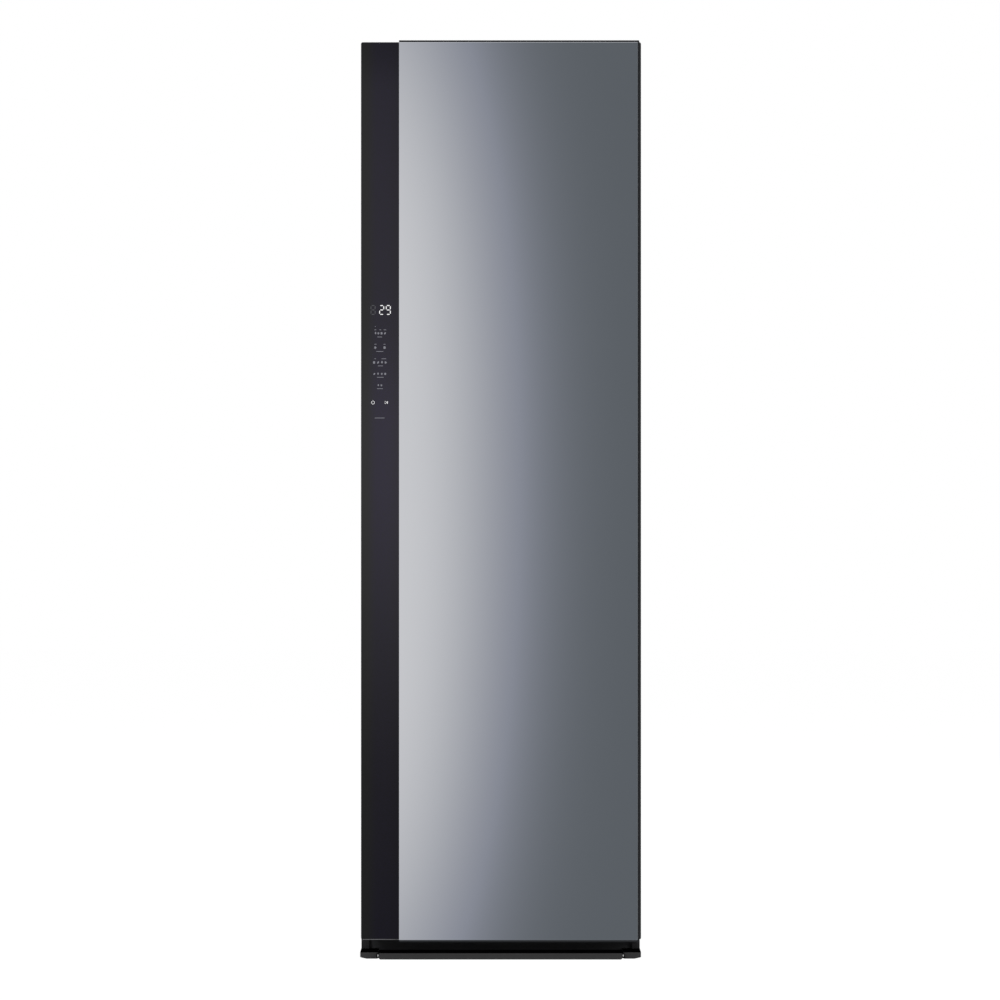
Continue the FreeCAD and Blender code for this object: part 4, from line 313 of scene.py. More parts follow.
def tinted_mirror(name, seal_top):
    """A silvered blue-grey tinted glass with the faintest haze, and a dark seal along its lower edge."""
    finish = Finish(name)
    _, _, height = finish.axes()
    haze = finish.noise(2.5)
    wipe = finish.noise(60.0, 2.0, (1, 1, 0.12))
    return finish.surface({
        "Base Color": finish.blend(height.step(seal_top - 0.4 * MM, seal_top), (0.10, 0.11, 0.12),
                                   finish.blend(haze, (0.694, 0.709, 0.744), (0.706, 0.721, 0.756))),
        "Roughness": haze * 0.008 + wipe * 0.006 + 0.004,
        "Metallic": 1.0})


def black_glass_painted_reflection(name):
    """Black-backed glass with a faint violet depth and a painted reflection: its coat weight and violet tone
    are set by height, fullest at the middle of its height.

    The violet fades to a neutral grey towards the strip's free edge.
    """
    finish = Finish(name)
    side, _, height = finish.axes()
    inner = side.step(-0.290, -0.262)
    # Painted reflection: a band of coat weight by height, fullest in the middle and falling off to both ends.
    painted_sheen_share = height.step(0.30, 1.12) * 0.57 - height.step(1.12, 1.45) * 0.22 - height.step(1.84, 1.97) * 0.20
    wipe = finish.noise(40.0, 2.0, (1, 1, 0.1))
    # The violet tone grows brighter with the painted reflection.
    violet = finish.blend(painted_sheen_share * painted_sheen_share * 3.0, (0.0016, 0.0009, 0.0050), (0.0040, 0.0016, 0.0140))
    return finish.surface({
        "Base Color": finish.blend(inner, (0.0030, 0.0032, 0.0030), violet),
        "Roughness": 0.5,
        "Specular IOR Level": 0.0,
        "Coat Weight": painted_sheen_share + wipe * 0.03 + 0.365,
        "Coat Roughness": 0.02,
        "Coat IOR": 1.53})


def lit_symbol(name, colour, strength):
    """A symbol lit from behind, its light varying a little from place to place."""
    finish = Finish(name)
    flicker = finish.noise(700.0, 1.0)
    return finish.surface({
        "Base Color": (0.02, 0.02, 0.02),
        "Roughness": 0.3,
        "Emission Color": finish.tones(flicker, colour, 0.9, 1),
        "Emission Strength": strength})


def soft_rubber(name, colour):
    """Soft moulded rubber with a dusty bloom."""
    finish = Finish(name)
    bloom = finish.noise(30.0, 4.0)
    grains = finish.noise(1800.0)
    return finish.surface({
        "Base Color": finish.tones(bloom, colour, 0.85, 1.25),
        "Roughness": bloom * 0.15 + 0.62,
        "Sheen Weight": 0.1,
        "Normal": finish.bump(grains, 0.03 * MM)})


def open_foam(name, colour):
    """Cut foam: small open cells in a soft skin."""
    finish = Finish(name)
    cells = finish.cells(700.0)
    lumps = finish.noise(90.0, 3.0)
    return finish.surface({
        "Base Color": finish.tones(cells * 0.6 + lumps * 0.4, colour, 1.08, 0.70),
        "Roughness": lumps * 0.1 + 0.85,
        "Normal": finish.bump(cells, 0.4 * MM)})


def woven_cloth(name, colour):
    """Plain weave: warp and weft threads that pass over each other in turn, with uneven yarn."""
    finish = Finish(name)
    thread_pitch = 1.3 * MM
    x, _, z = finish.axes()
    warp = (x * (HALF_TURN / thread_pitch)).sine()
    weft = (z * (HALF_TURN / thread_pitch)).sine()
    over = (warp * weft) * 0.5 + 0.5
    threads = (warp.size() * over).most(weft.size() * (1 - over))
    yarn = finish.noise(420.0, 3.0)
    soil = finish.noise(9.0)
    return finish.surface({
        "Base Color": finish.tones(threads * 0.6 + yarn * 0.25 + soil * 0.15, colour, 0.62, 1.18),
        "Roughness": yarn * 0.12 + 0.74,
        "Sheen Weight": 0.25,
        "Normal": finish.bump(threads * 0.8 + yarn * 0.2, 0.18 * MM)})


def clear_plastic(name, colour):
    """Smoky see-through plastic with faint flow lines from its mould."""
    finish = Finish(name)
    flow = finish.noise(14.0, 2.0, (1, 1, 0.3))
    grains = finish.noise(900.0)
    return finish.surface({
        "Base Color": finish.tones(flow, colour, 0.85, 1.15),
        "Roughness": flow * 0.06 + grains * 0.04 + 0.10,
        "Transmission Weight": 0.55,
        "IOR": 1.49,
        "Normal": finish.bump(flow, 0.15 * MM)})


def drawn_copper(name, colour):
    """Drawn copper tube: bright metal with brown bloom."""
    finish = Finish(name)
    bloom = finish.noise(34.0, 4.0).step(0.35, 0.75)
    scratches = finish.noise(1500.0)
    return finish.surface({
        "Base Color": finish.tones(bloom, colour, 1, 0.45),
        "Roughness": bloom * 0.25 + scratches * 0.1 + 0.22,
        "Metallic": 1.0,
        "Normal": finish.bump(scratches, 0.01 * MM)})


def circuit_board(name):
    """A green board with a net of copper tracks under its lacquer."""
    finish = Finish(name)
    x, _, z = finish.axes()
    track_x = (x * (HALF_TURN / (2.1 * MM))).sine().over(0.72)
    track_z = (z * (HALF_TURN / (3.4 * MM))).sine().over(0.80)
    areas = finish.noise(120.0, 1.0).over(0.52)
    tracks = track_x * areas + track_z * (1 - areas)
    return finish.surface({
        "Base Color": finish.blend(tracks, (0.012, 0.075, 0.03), (0.03, 0.16, 0.06)),
        "Roughness": areas * 0.08 + 0.28,
        "Normal": finish.bump(tracks, 0.03 * MM)})


def make_world():
    """White where the camera, gloss or clear plastic look, and an even soft light for all else."""
    world = bpy.data.worlds.new("studio")
    world.use_nodes = True
    bpy.context.scene.world = world
    sky = Finish("studio", world.node_tree)
    path = sky.node("LightPath").socket.node.outputs
    seen = Link(sky, path["Is Camera Ray"]).most(Link(sky, path["Is Glossy Ray"]))
    seen = seen.most(Link(sky, path["Is Transmission Ray"]))
    background = world.node_tree.nodes["Background"]
    sky.feed(background.inputs["Color"], (1, 1, 1, 1))
    sky.feed(background.inputs["Strength"], seen * (1 - AMBIENT) + AMBIENT)


def flat_sheet(name, corners):
    """One rectangle from its four corners."""
    mesh = bpy.data.meshes.new(name)
    mesh.from_pydata(corners, [], [(0, 1, 2, 3)])
    made = bpy.data.objects.new(name, mesh)
    bpy.context.scene.collection.objects.link(made)
    return made


def make_floor():
    """A pale floor that meets the white surroundings and keeps a faint shadow under the cabinet."""
    half = FLOOR_SIZE / 2
    floor = flat_sheet("floor", [(-half, -half, 0), (half, -half, 0), (half, half, 0), (-half, half, 0)])
    finish = Finish("pale_floor")
    path = finish.node("LightPath").socket.node.outputs
    seen = Link(finish, path["Is Camera Ray"])
    finish.surface({"Base Color": (FLOOR_GREY,) * 3, "Roughness": 0.9, "Specular IOR Level": 0.0})
    lit = finish.tree.nodes["Principled BSDF"].outputs[0]
    white = finish.node("Emission", values={"Color": (1, 1, 1, 1), "Strength": FLOOR_GLOW})
    mixed = finish.node("MixShader", values={0: seen * FLOOR_WHITENESS, 1: Link(finish, lit), 2: white})
    finish.feed(finish.tree.nodes["Material Output"].inputs["Surface"], mixed)
    floor.data.materials.append(finish.material)
    floor.visible_glossy = False


def make_reflector():
    """The wall that the mirror shows: a tall soft glow that bows to the left at its ends and fades to grey.

    With h the squared height over its middle, the glow is exp(-(x + b h)^2 / 2 w^2 - f h^2), and the wall
    turns white towards its rim.
    """
    (x0, x1), (z0, z1) = CARD_X, CARD_Z
    y = CARD_DISTANCE
    card = flat_sheet("reflector", [(x0, y, z0), (x0, y, z1), (x1, y, z1), (x1, y, z0)])
    finish = Finish("reflector_glow")
    x, _, z = finish.axes()
    rise = (z - GLOW_Z) * (z - GLOW_Z)
    aside = x - GLOW_X + rise * GLOW_BOW
    glow = (aside * aside * (-0.5 / GLOW_WIDTH ** 2) - rise * rise * GLOW_FALL).exp()
    shade = finish.node("ValToRGB", {"stops": GLOW_SHADES}, {0: glow})
    middle_x = (x0 + x1) / 2
    middle_z = (z0 + z1) / 2
    rim = ((x - middle_x).size() - (x1 - middle_x)).most((z - middle_z).size() - (z1 - middle_z))
    finish.surface({
        "Base Color": (0, 0, 0), "Roughness": 1.0, "Specular IOR Level": 0.0,
        "Emission Color": finish.blend(rim.step(-CARD_FADE, 0), shade, (1, 1, 1)),
        "Emission Strength": 1.0})
    card.data.materials.append(finish.material)
    card.visible_camera = False
    card.visible_diffuse = False
    card.visible_shadow = False
    card.visible_transmission = False


# ------------------------------------------------------------------ surfaces

SUNK = 0.3 * MM  # how far a rib's foot reaches into the face that it stands on


def turn_steps(count):
    """Even angles over one turn."""
    return np.arange(count) * FULL_TURN / count


def upright(flat, level):
    """Points in space from points in X and Z, given their Y."""
    return np.stack([flat[..., 0], np.broadcast_to(level, flat.shape[:-1]), flat[..., 1]], -1)


def turned(radius, angle, height):
    """Points round Z: x = r cos t, y = r sin t, z = height."""
    return np.stack(np.broadcast_arrays(radius * np.cos(angle), radius * np.sin(angle), height), -1)


def net(rows, columns, wrap_rows=False):
    """The quads of a grid that closes along its columns, four corner numbers each.

    With wrap_rows its last row joins its first as well.
    """
    row, column = np.meshgrid(np.arange(rows - (not wrap_rows)), np.arange(columns), indexing="ij")
    next_row = (row + 1) % rows
    next_column = (column + 1) % columns
    return np.stack([row * columns + column, row * columns + next_column,
                     next_row * columns + next_column, next_row * columns + column], -1).reshape(-1, 4)


def new_piece(name, points, faces, body, finish, sharp=35):
    """A mesh of corner points and faces that rides on a body; edges sharper than an angle stay sharp."""
    mesh = bpy.data.meshes.new(name)
    mesh.from_pydata(np.asarray(points).reshape(-1, 3).tolist(), [], [list(face) for face in faces])
    mesh.validate()
    mesh.shade_smooth()
    mesh.set_sharp_from_angle(angle=math.radians(sharp))
    mesh.materials.append(finish)
    made = bpy.data.objects.new(name, mesh)
    bpy.context.scene.collection.objects.link(made)
    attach(made, body)
    return made


def ring_skin(rings):
    """Faces over closed rings, shape (rings, points, 3), with a flat cap on the first and the last ring."""
    rows, columns = rings.shape[:2]
    faces = net(rows, columns).tolist()
    faces.append(list(range(columns))[::-1])
    faces.append(list(range((rows - 1) * columns, rows * columns)))
    return faces


def outward(points, faces):
    """The faces, turned round if the closed shape's volume comes out negative."""
    points = points.reshape(-1, 3)
    volume = 0.0
    for face in faces:
        corners = points[face]
        volume += np.einsum("ij,ij->i", np.cross(corners[1:-1], corners[2:]), corners[:1]).sum()
    return faces if volume > 0 else [face[::-1] for face in faces]


def solids(name, parts, body, finish, sharp=35):
    """Closed forms over rings, one or more, as one piece."""
    points = []
    faces = []
    start = 0
    for rings in parts:
        faces += [[corner + start for corner in face] for face in outward(rings, ring_skin(rings))]
        points.append(rings.reshape(-1, 3))
        start += len(points[-1])
    return new_piece(name, np.concatenate(points), faces, body, finish, sharp)


def at_places(rings, places):
    return [rings + np.array(place) for place in places]


def rounded_outline(half_x, low_z, high_z, radius, per_corner=10):
    """Points and outward directions round a rectangle with round corners, in X and Z.

    Each corner is a quarter turn about its own centre: centre + radius (cos t, sin t).
    """
    quarter = np.linspace(0, QUARTER_TURN, per_corner)
    angle = (np.arange(4)[:, None] * QUARTER_TURN + quarter).ravel()
    side_x = np.repeat([1, -1, -1, 1], per_corner)
    side_z = np.repeat([1, 1, -1, -1], per_corner)
    middle_z = (low_z + high_z) / 2
    half_z = (high_z - low_z) / 2
    out = np.stack([np.cos(angle), np.sin(angle)], -1)
    centre = np.stack([side_x * (half_x - radius), middle_z + side_z * (half_z - radius)], -1)
    return centre + out * radius, out


def even_outline(half_x, low_z, high_z, radius, count):
    """The same outline's points, read at equal steps of its length."""
    path, _ = rounded_outline(half_x, low_z, high_z, radius)
    path = np.concatenate([path, path[:1]])
    length = np.concatenate([[0], np.cumsum(np.linalg.norm(np.diff(path, axis=0), axis=1))])
    steps = np.arange(count) * length[-1] / count
    return np.stack([np.interp(steps, length, column) for column in path.T], -1)


def eased_block(low, high, radius, ease):
    """Rings of a block with round upright edges and eased ends.

    Each ring is a round-cornered rectangle in X and Y, drawn in near both ends by a quarter circle.
    """
    path, out = rounded_outline((high[0] - low[0]) / 2, low[1], high[1], radius, per_corner=5)
    turn = np.linspace(0, QUARTER_TURN, 4)
    inset = np.concatenate([1 - np.sin(turn), (1 - np.sin(turn))[::-1]]) * ease
    rise = ease * (1 - np.cos(turn))
    level = np.concatenate([low[2] + rise, high[2] - rise[::-1]])
    flat = path - out * inset[:, None, None]
    flat[..., 0] += (low[0] + high[0]) / 2
    return np.concatenate([flat, np.broadcast_to(level[:, None, None], flat.shape[:2] + (1,))], -1)


def loop_piece(name, loop, profile, body, finish, sharp=35):
    """A closed profile carried round a loop: x and z go out by the profile's offset, y is its level."""
    path, out = loop
    offset, level = profile
    points = upright(path[:, None] + out[:, None] * offset[:, None], level)
    faces = net(*points.shape[:2], wrap_rows=True).tolist()
    return new_piece(name, points, outward(points, faces), body, finish, sharp)


def half_round(half_width, face, height, facing):
    """A half-round rib's profile on a face, its foot just sunk.

    Its offset is w cos t, and its level stands h sin t off the face.
    """
    turn = np.linspace(0, HALF_TURN, 9)
    offset = np.concatenate([[half_width], half_width * np.cos(turn), [-half_width]])
    level = np.concatenate([[-SUNK], height * np.sin(turn), [-SUNK]])
    return offset, face + facing * level


def beads(places, half_width, low_z, high_z, face, height, facing):
    """Rings of long beads with round ends, pressed out of a face at places along X.

    The way in from a bead's outline goes from 0 almost to 1, and its height is that way's quarter circle.
    """
    path, out = rounded_outline(half_width, low_z, high_z, half_width)
    way = np.concatenate([[0], np.linspace(0, 0.96, 7)])
    level = height * np.sqrt(1 - (1 - way) ** 2)
    level[0] = -SUNK
    rings = upright(path - out * (way * half_width)[:, None, None], (face + facing * level)[:, None])
    return at_places(rings, [(x, 0, 0) for x in places])


# ------------------------------------------------------------------ the display on the control glass

DISPLAY_LIFT = 0.10 * MM
SYMBOL_DEPTH = 0.08 * MM
STROKE = 1.9 * MM
DIGIT_HALF_WIDTH = 4.4 * MM
DIGIT_HALF_HEIGHT = 9.4 * MM
SEGMENT_GAP = 1.35 * MM
DIGIT_HEIGHT = 1386.0 * MM
# Each digit's seven bars in the order top, upper left, upper right, middle, lower left, lower right, bottom
SEGMENTS = {2: (1, 0, 1, 1, 1, 0, 1), 9: (1, 1, 1, 1, 0, 1, 1), 8: (1, 1, 1, 1, 1, 1, 1)}
LIT_DIGITS = ((2, -254.0 * MM), (9, -239.9 * MM))
RESTING_DIGIT = (8, -272.4 * MM)
# Rows of small symbols, in millimetres: height, half height, places across
SYMBOL_ROWS = (
    (1336.1, 3.0, (-267.1, -261.1, -254.3, -247.0)), (1305.6, 3.4, (-267.7, -247.9)),
    (1273.8, 3.2, (-270.3, -261.6, -253.4, -245.7)), (1249.4, 2.8, (-269.7, -261.8, -253.8, -246.4)),
    (1225.0, 2.6, (-261.1, -254.7)),
)
SYMBOL_STEPS = 28
SYMBOL_NARROWING = 0.85
# Dashes that stand for captions, in millimetres: height, left end, right end
CAPTIONS = (
    (1350.7, -268.6, -266.8), (1343.5, -269.7, -265.4), (1343.5, -259.0, -255.1), (1343.5, -250.0, -244.2),
    (1328.3, -263.5, -253.0), (1312.8, -269.8, -265.0), (1312.8, -250.4, -245.6), (1297.3, -265.4, -250.6),
    (1281.7, -269.6, -266.2), (1281.7, -254.6, -244.4), (1266.5, -262.2, -251.1), (1242.2, -264.1, -249.8),
    (1217.8, -264.1, -251.5), (1155.2, -269.0, -247.9),
)
CAPTION_HEIGHT = 1.1 * MM
POWER_PLACE = (-272.6 * MM, 1188.2 * MM)
POWER_RADIUS = 3.7 * MM
POWER_STROKE = 0.85 * MM
POWER_HALF_GAP = math.radians(34)
POWER_STEPS = 30
POWER_BAR_RISE = 1.4 * MM
START_PLACE = (-247.8 * MM, 1188.3 * MM)
START_HALF = 2.8 * MM
START_WIDTH = 4.6 * MM
START_OPENING = 1.0 * MM
START_BAR_GAP = 1.6 * MM
# The power bar, then the triangle's back, its upper and lower side, and the bar at its tip
TOUCH_STROKES = np.array([0.8, 0.3, 0.8, 0.8, 1.3]) * MM


def outline_slabs(name, outlines, finish):
    """Thin slabs on the glass from closed outlines, shape (slabs, points, 2): a back and a front ring."""
    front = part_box("control_glass")[0].y - DISPLAY_LIFT
    half = SYMBOL_DEPTH / 2
    slabs = np.stack([upright(outlines, front + half), upright(outlines, front - half)], 1)
    solids(name, slabs, "door", finish)


def bar_slabs(name, starts, ends, half_width, finish, tips=0.5):
    """Thin bars on the glass from start to end points (x, z), with pointed ends.

    Each outline is six points: both ends, and shoulders a half-width to each side, tips of a half-width in.
    """
    half = np.broadcast_to(half_width, (len(starts),))[:, None]
    along = ends - starts
    along /= np.linalg.norm(along, axis=1)[:, None]
    side = np.stack([-along[:, 1], along[:, 0]], -1) * half
    inset = along * half * tips
    outlines = np.stack([starts, starts + inset + side, ends - inset + side, ends,
                         ends - inset - side, starts + inset - side], 1)
    outline_slabs(name, outlines, finish)


def digit_bars(digit, x):
    """Start and end points of a digit's lit bars."""
    w, h, gap = DIGIT_HALF_WIDTH, DIGIT_HALF_HEIGHT, SEGMENT_GAP
    bars = ((-w + gap, h, w - gap, h), (-w, gap, -w, h - gap), (w, gap, w, h - gap),
            (-w + gap, 0, w - gap, 0), (-w, -h + gap, -w, -gap), (w, -h + gap, w, -gap),
            (-w + gap, -h, w - gap, -h))
    lit = np.array([bar for bar, on in zip(bars, SEGMENTS[digit]) if on])
    shift = np.array([x, DIGIT_HEIGHT])
    return lit[:, :2] + shift, lit[:, 2:] + shift


def make_digits(bright, faint):
    starts, ends = zip(*[digit_bars(digit, x) for digit, x in LIT_DIGITS])
    bar_slabs("display_digits", np.concatenate(starts), np.concatenate(ends), STROKE / 2, bright)
    bar_slabs("display_resting_digit", *digit_bars(*RESTING_DIGIT), STROKE / 2, faint)


def make_symbols(dim):
    """Small symbols: outlines whose radius follows the angle.

    The drop's grows with the cube of its sine, the flower's with the cosine of five times it, the shield's is
    a superellipse's of the fifth power, and the leaf's narrows away from its own diagonal.
    """
    angle = turn_steps(SYMBOL_STEPS)
    cos, sin = np.cos(angle), np.sin(angle)
    drop = 0.62 + 0.38 * np.clip(sin, 0, 1) ** 3
    flower = 0.74 + 0.26 * np.cos(5 * angle)
    shield = 0.80 / (np.abs(cos) ** 5 + np.abs(sin) ** 5) ** 0.2
    leaf = 1.05 / (1 + 0.8 * np.abs(np.sin(angle - math.pi / 4)))
    forms = (drop, flower, shield, leaf)
    outlines = []
    for row, (height, half, places) in enumerate(SYMBOL_ROWS):
        for number, place in enumerate(places):
            radius = forms[(row + number) % len(forms)] * half
            outline = np.stack([place + radius * cos * SYMBOL_NARROWING, height + radius * sin], -1)
            outlines.append(outline * MM)
    outline_slabs("display_symbols", np.array(outlines), dim)


def make_captions(dim):
    heights, lefts, rights = np.array(CAPTIONS).T * MM
    bar_slabs("display_captions", np.stack([lefts, heights], -1), np.stack([rights, heights], -1),
              CAPTION_HEIGHT / 2, dim, tips=0.3)


def make_touch_symbols(bright):
    """The on/off ring, open at its top with a short bar, and the start symbol: an open triangle and a bar."""
    angle = np.linspace(QUARTER_TURN + POWER_HALF_GAP, QUARTER_TURN + FULL_TURN - POWER_HALF_GAP, POWER_STEPS)
    circle = np.stack([np.cos(angle), np.sin(angle)], -1)
    ring = np.concatenate([circle * POWER_RADIUS, (circle * (POWER_RADIUS - POWER_STROKE))[::-1]])
    outline_slabs("display_power_ring", (ring + np.array(POWER_PLACE))[None], bright)
    x, z = POWER_PLACE
    left, middle = START_PLACE
    low, high = middle - START_HALF, middle + START_HALF
    tip = left + START_WIDTH
    bar = tip + START_BAR_GAP
    bars = np.array([
        (x, z + POWER_BAR_RISE, x, z + POWER_RADIUS + POWER_BAR_RISE),
        (left, low, left, high),
        (left + START_OPENING, high, tip, middle),
        (tip, middle, left + START_OPENING, low),
        (bar, low, bar, high)])
    bar_slabs("display_touch_bars", bars[:, :2], bars[:, 2:], TOUCH_STROKES / 2, bright, tips=0.3)


def make_strip_foot(metal):
    """A thin bright bar that carries the control strip's lower edge."""
    low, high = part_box("control_glass")
    left, right = low.x + 2.5 * MM, high.x - 0.3 * MM
    front, back = low.y - 0.5 * MM, low.y + 0.4 * MM
    bottom, top = low.z - 2.0 * MM, low.z - 0.8 * MM
    bar = eased_block((left, front, bottom), (right, back, top), 0.3 * MM, 0.15 * MM)
    solids("strip_foot_bar", [bar], "door", metal)


# ------------------------------------------------------------------ the door's seal and trouser press

SEAL_HALF_WIDTH = 7 * MM
SEAL_RADIUS = 16 * MM
SEAL_LIP = 0.6 * MM
SEAL_FOLD = 2.1 * MM

# The press pad's rings: how far each lies inside the outline, and its share of the pad's depth
PAD_INSETS = np.array([0.4, 0.0, 0.0, 0.7, 2.0, 4.0, 6.0, 8.0, 11.0, 15.0, 20.0, 28.0]) * MM
PAD_SHARES = np.array([0, 0.10, 0.50, 0.74, 0.85, 0.88, 0.80, 0.86, 0.91, 0.935, 0.95, 0.96])
# The crown's rings, as shares of the last one's size
PAD_CROWN_RINGS = np.array([0.9, 0.76, 0.6, 0.44, 0.28, 0.14, 0.05, 0.01])
PAD_DEPTH = 11.4 * MM
PAD_CORNER = 6 * MM
PAD_STEPS = 480
PAD_CROWN = 0.04
PUCKER_HEIGHT = 0.26 * MM
PUCKER_MIDDLE = 8 * MM
PUCKER_REACH = 7 * MM
WAVE_HEIGHT = 0.2 * MM
WAVE_X = 38 * MM
WAVE_Z = 54 * MM
EAR_HEIGHT = 12 * MM
EAR_HALF = 7 * MM
EAR_EASE = 0.6 * MM
EAR_GAP = 0.8 * MM
PIN_RADIUS = 3 * MM
PIN_LENGTH = 12.6 * MM


def make_gasket(rubber):
    """The door's seal: a bellows profile carried round the mouth.

    Its half-width is 7 mm less a fold that follows 1 - cos over two waves of its depth.
    """
    low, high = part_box("door_gasket")
    loop = rounded_outline(high.x - SEAL_HALF_WIDTH, low.z + SEAL_HALF_WIDTH, high.z - SEAL_HALF_WIDTH,
                           SEAL_RADIUS - SEAL_HALF_WIDTH, per_corner=14)
    depth = np.linspace(0, 1, 25)
    fold = SEAL_FOLD * (1 - np.cos(depth * FULL_TURN * 2)) / 2 * (depth < 0.98)
    side = SEAL_HALF_WIDTH - SEAL_LIP * (depth > 0.02) - fold
    offset = np.concatenate([side, -side[::-1]])
    level = low.y + (high.y - low.y) * np.concatenate([depth, depth[::-1]])
    seal = loop_piece("door_seal", loop, (offset, level), "door", rubber, sharp=60)
    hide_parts("door_gasket")


def make_press_cover(cloth):
    """The press pad's crowned cover, with a puckered, sewn edge.

    Each ring is the pad's outline made smaller, so that it lies the inset inside on both axes: over the
    rounded rim, down into the sewn line and up again. Inside the last inset the crown is the product of two
    parabolas, in X and in Z. The puckers are two sine waves round the edge that die away inwards, and a
    slower wave in X and Z keeps the crown from being flat.
    """
    low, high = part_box("press_mount")
    pad_low = low.z + EAR_HEIGHT + EAR_GAP
    pad_high = high.z - EAR_HEIGHT - EAR_GAP
    half_size = np.array([-low.x, (pad_high - pad_low) / 2])
    centre = np.array([0, (pad_low + pad_high) / 2])
    path = even_outline(-low.x, pad_low, pad_high, PAD_CORNER, PAD_STEPS)
    outer = 1 - PAD_INSETS[:, None] / half_size
    spread = (path - centre) * np.concatenate([outer, outer[-1] * PAD_CROWN_RINGS[:, None]])[:, None]
    crown = np.prod(np.clip(1 - (spread / (half_size * outer[-1])) ** 2, 0, 1), -1)
    share = np.concatenate([PAD_SHARES, np.full(len(PAD_CROWN_RINGS), PAD_SHARES[-1])])
    turn = turn_steps(PAD_STEPS)
    pucker = np.sin(77 * turn) + 0.6 * np.sin(53 * turn + 1.0)
    fade = np.exp(-np.abs(PAD_INSETS - PUCKER_MIDDLE) / PUCKER_REACH) * (PAD_INSETS > 3 * MM)
    fade = np.concatenate([fade, np.zeros(len(PAD_CROWN_RINGS))])
    wave = np.sin(spread[..., 0] / WAVE_X) * np.sin(spread[..., 1] / WAVE_Z) * crown
    level = (low.y + PAD_DEPTH * (share[:, None] + PAD_CROWN * crown)
             + PUCKER_HEIGHT * fade[:, None] * pucker + WAVE_HEIGHT * wave)
    cover = solids("press_cover", [upright(spread + centre, level)], "door", cloth)
    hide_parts("press_mount")


def make_press_ears(plastic):
    """The two ears over and under the pad, D-shaped seen from above, and the pins that the plate turns on."""
    low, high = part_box("press_mount")
    plate_low, plate_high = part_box("press_plate")
    back = low.y
    hinge = np.array([plate_high.x - 6 * MM, (plate_low.y + plate_high.y) / 2])
    turn = np.linspace(0, HALF_TURN, 17)
    arc = hinge + np.stack([np.cos(turn), np.sin(turn)], -1) * EAR_HALF
    outline = np.concatenate([[(arc[0, 0], back)], arc, [(arc[-1, 0], back)]])
    sizes = np.array([0.94, 1, 1, 0.94])[:, None, None]
    flat = hinge + (outline - hinge) * sizes
    flat[..., 1] = np.maximum(flat[..., 1], back)
    heights = np.array([0, EAR_EASE, EAR_HEIGHT - EAR_EASE, EAR_HEIGHT])
    ear = np.concatenate([flat, np.broadcast_to(heights[:, None, None], flat.shape[:2] + (1,))], -1)
    solids("press_ears", at_places(ear, [(0, 0, low.z), (0, 0, high.z - EAR_HEIGHT)]), "door",
           plastic)
    radius = PIN_RADIUS - np.array([[EAR_EASE], [0], [0], [EAR_EASE]])
    height = np.array([[0], [EAR_EASE], [PIN_LENGTH - EAR_EASE], [PIN_LENGTH]])
    pin = turned(radius, turn_steps(24), height)
    places = [(*hinge, low.z + EAR_HEIGHT - EAR_EASE), (*hinge, high.z - EAR_HEIGHT - PIN_LENGTH + EAR_EASE)]
    solids("press_pins", at_places(pin, places), "door", plastic)


# ------------------------------------------------------------------ screws, feet and filter

TO_BACK = (0, 1, 0)
TO_FRONT = (0, -1, 0)
UP = (0, 0, 1)
SCREW_RADIUS = 4.6 * MM
SMALL_SCREW_RADIUS = 3.6 * MM
SCREW_EDGE = 9 * MM

# Millimetres: the foot pad's rings as radius and height, then its nut and its stem
FOOT_PAD = ((16.8, 0), (17.7, 0.3), (18, 1.2), (18, 2.8), (17.7, 3.6), (16.8, 4))
NUT_RADIUS = 11
NUT_RINGS = ((1, 4), (1, 7.6), (0.93, 8))
THREAD_ROOT = 4.55
THREAD_CREST = 5.0
THREAD_PITCH = 1.6
THREAD_STEPS = 6
STEM_TOP = 42
FOOT_COLUMNS = 36

NET_INSET = 6.4 * MM
NET_PITCH = 2.6 * MM
HALF_WIRE = 0.22 * MM


def screw_heads(name, places, facing, finish, radius=SCREW_RADIUS):
    """Pan-head screws with a cross recess, facing along +Y, -Y or +Z.

    A head's height is a low dome, less the recess where the nearer axis is close and the radius small.
    """
    rows, columns = 10, 32
    share = np.linspace(0, 1, rows)[::-1, None]
    angle = turn_steps(columns)
    u = share * np.cos(angle)
    v = share * np.sin(angle)
    dome = 0.42 * np.sqrt(np.clip(1 - 0.92 * (u * u + v * v), 0, 1))
    near = np.minimum(np.abs(u), np.abs(v))
    recess = np.clip((0.15 - near) / 0.06, 0, 1) * np.clip((0.66 - np.hypot(u, v)) / 0.12, 0, 1)
    top = np.stack([u, v, dome - 0.22 * recess], -1)[:-1]
    rim = np.stack([u[0], v[0], np.zeros(columns)], -1)[None]
    aside = (0, 1, 0) if facing == UP else (0, 0, 1)
    head = np.concatenate([rim, top]) * radius @ np.array([(1, 0, 0), aside, facing], float)
    solids(name, at_places(head, places), "root", finish, sharp=50)


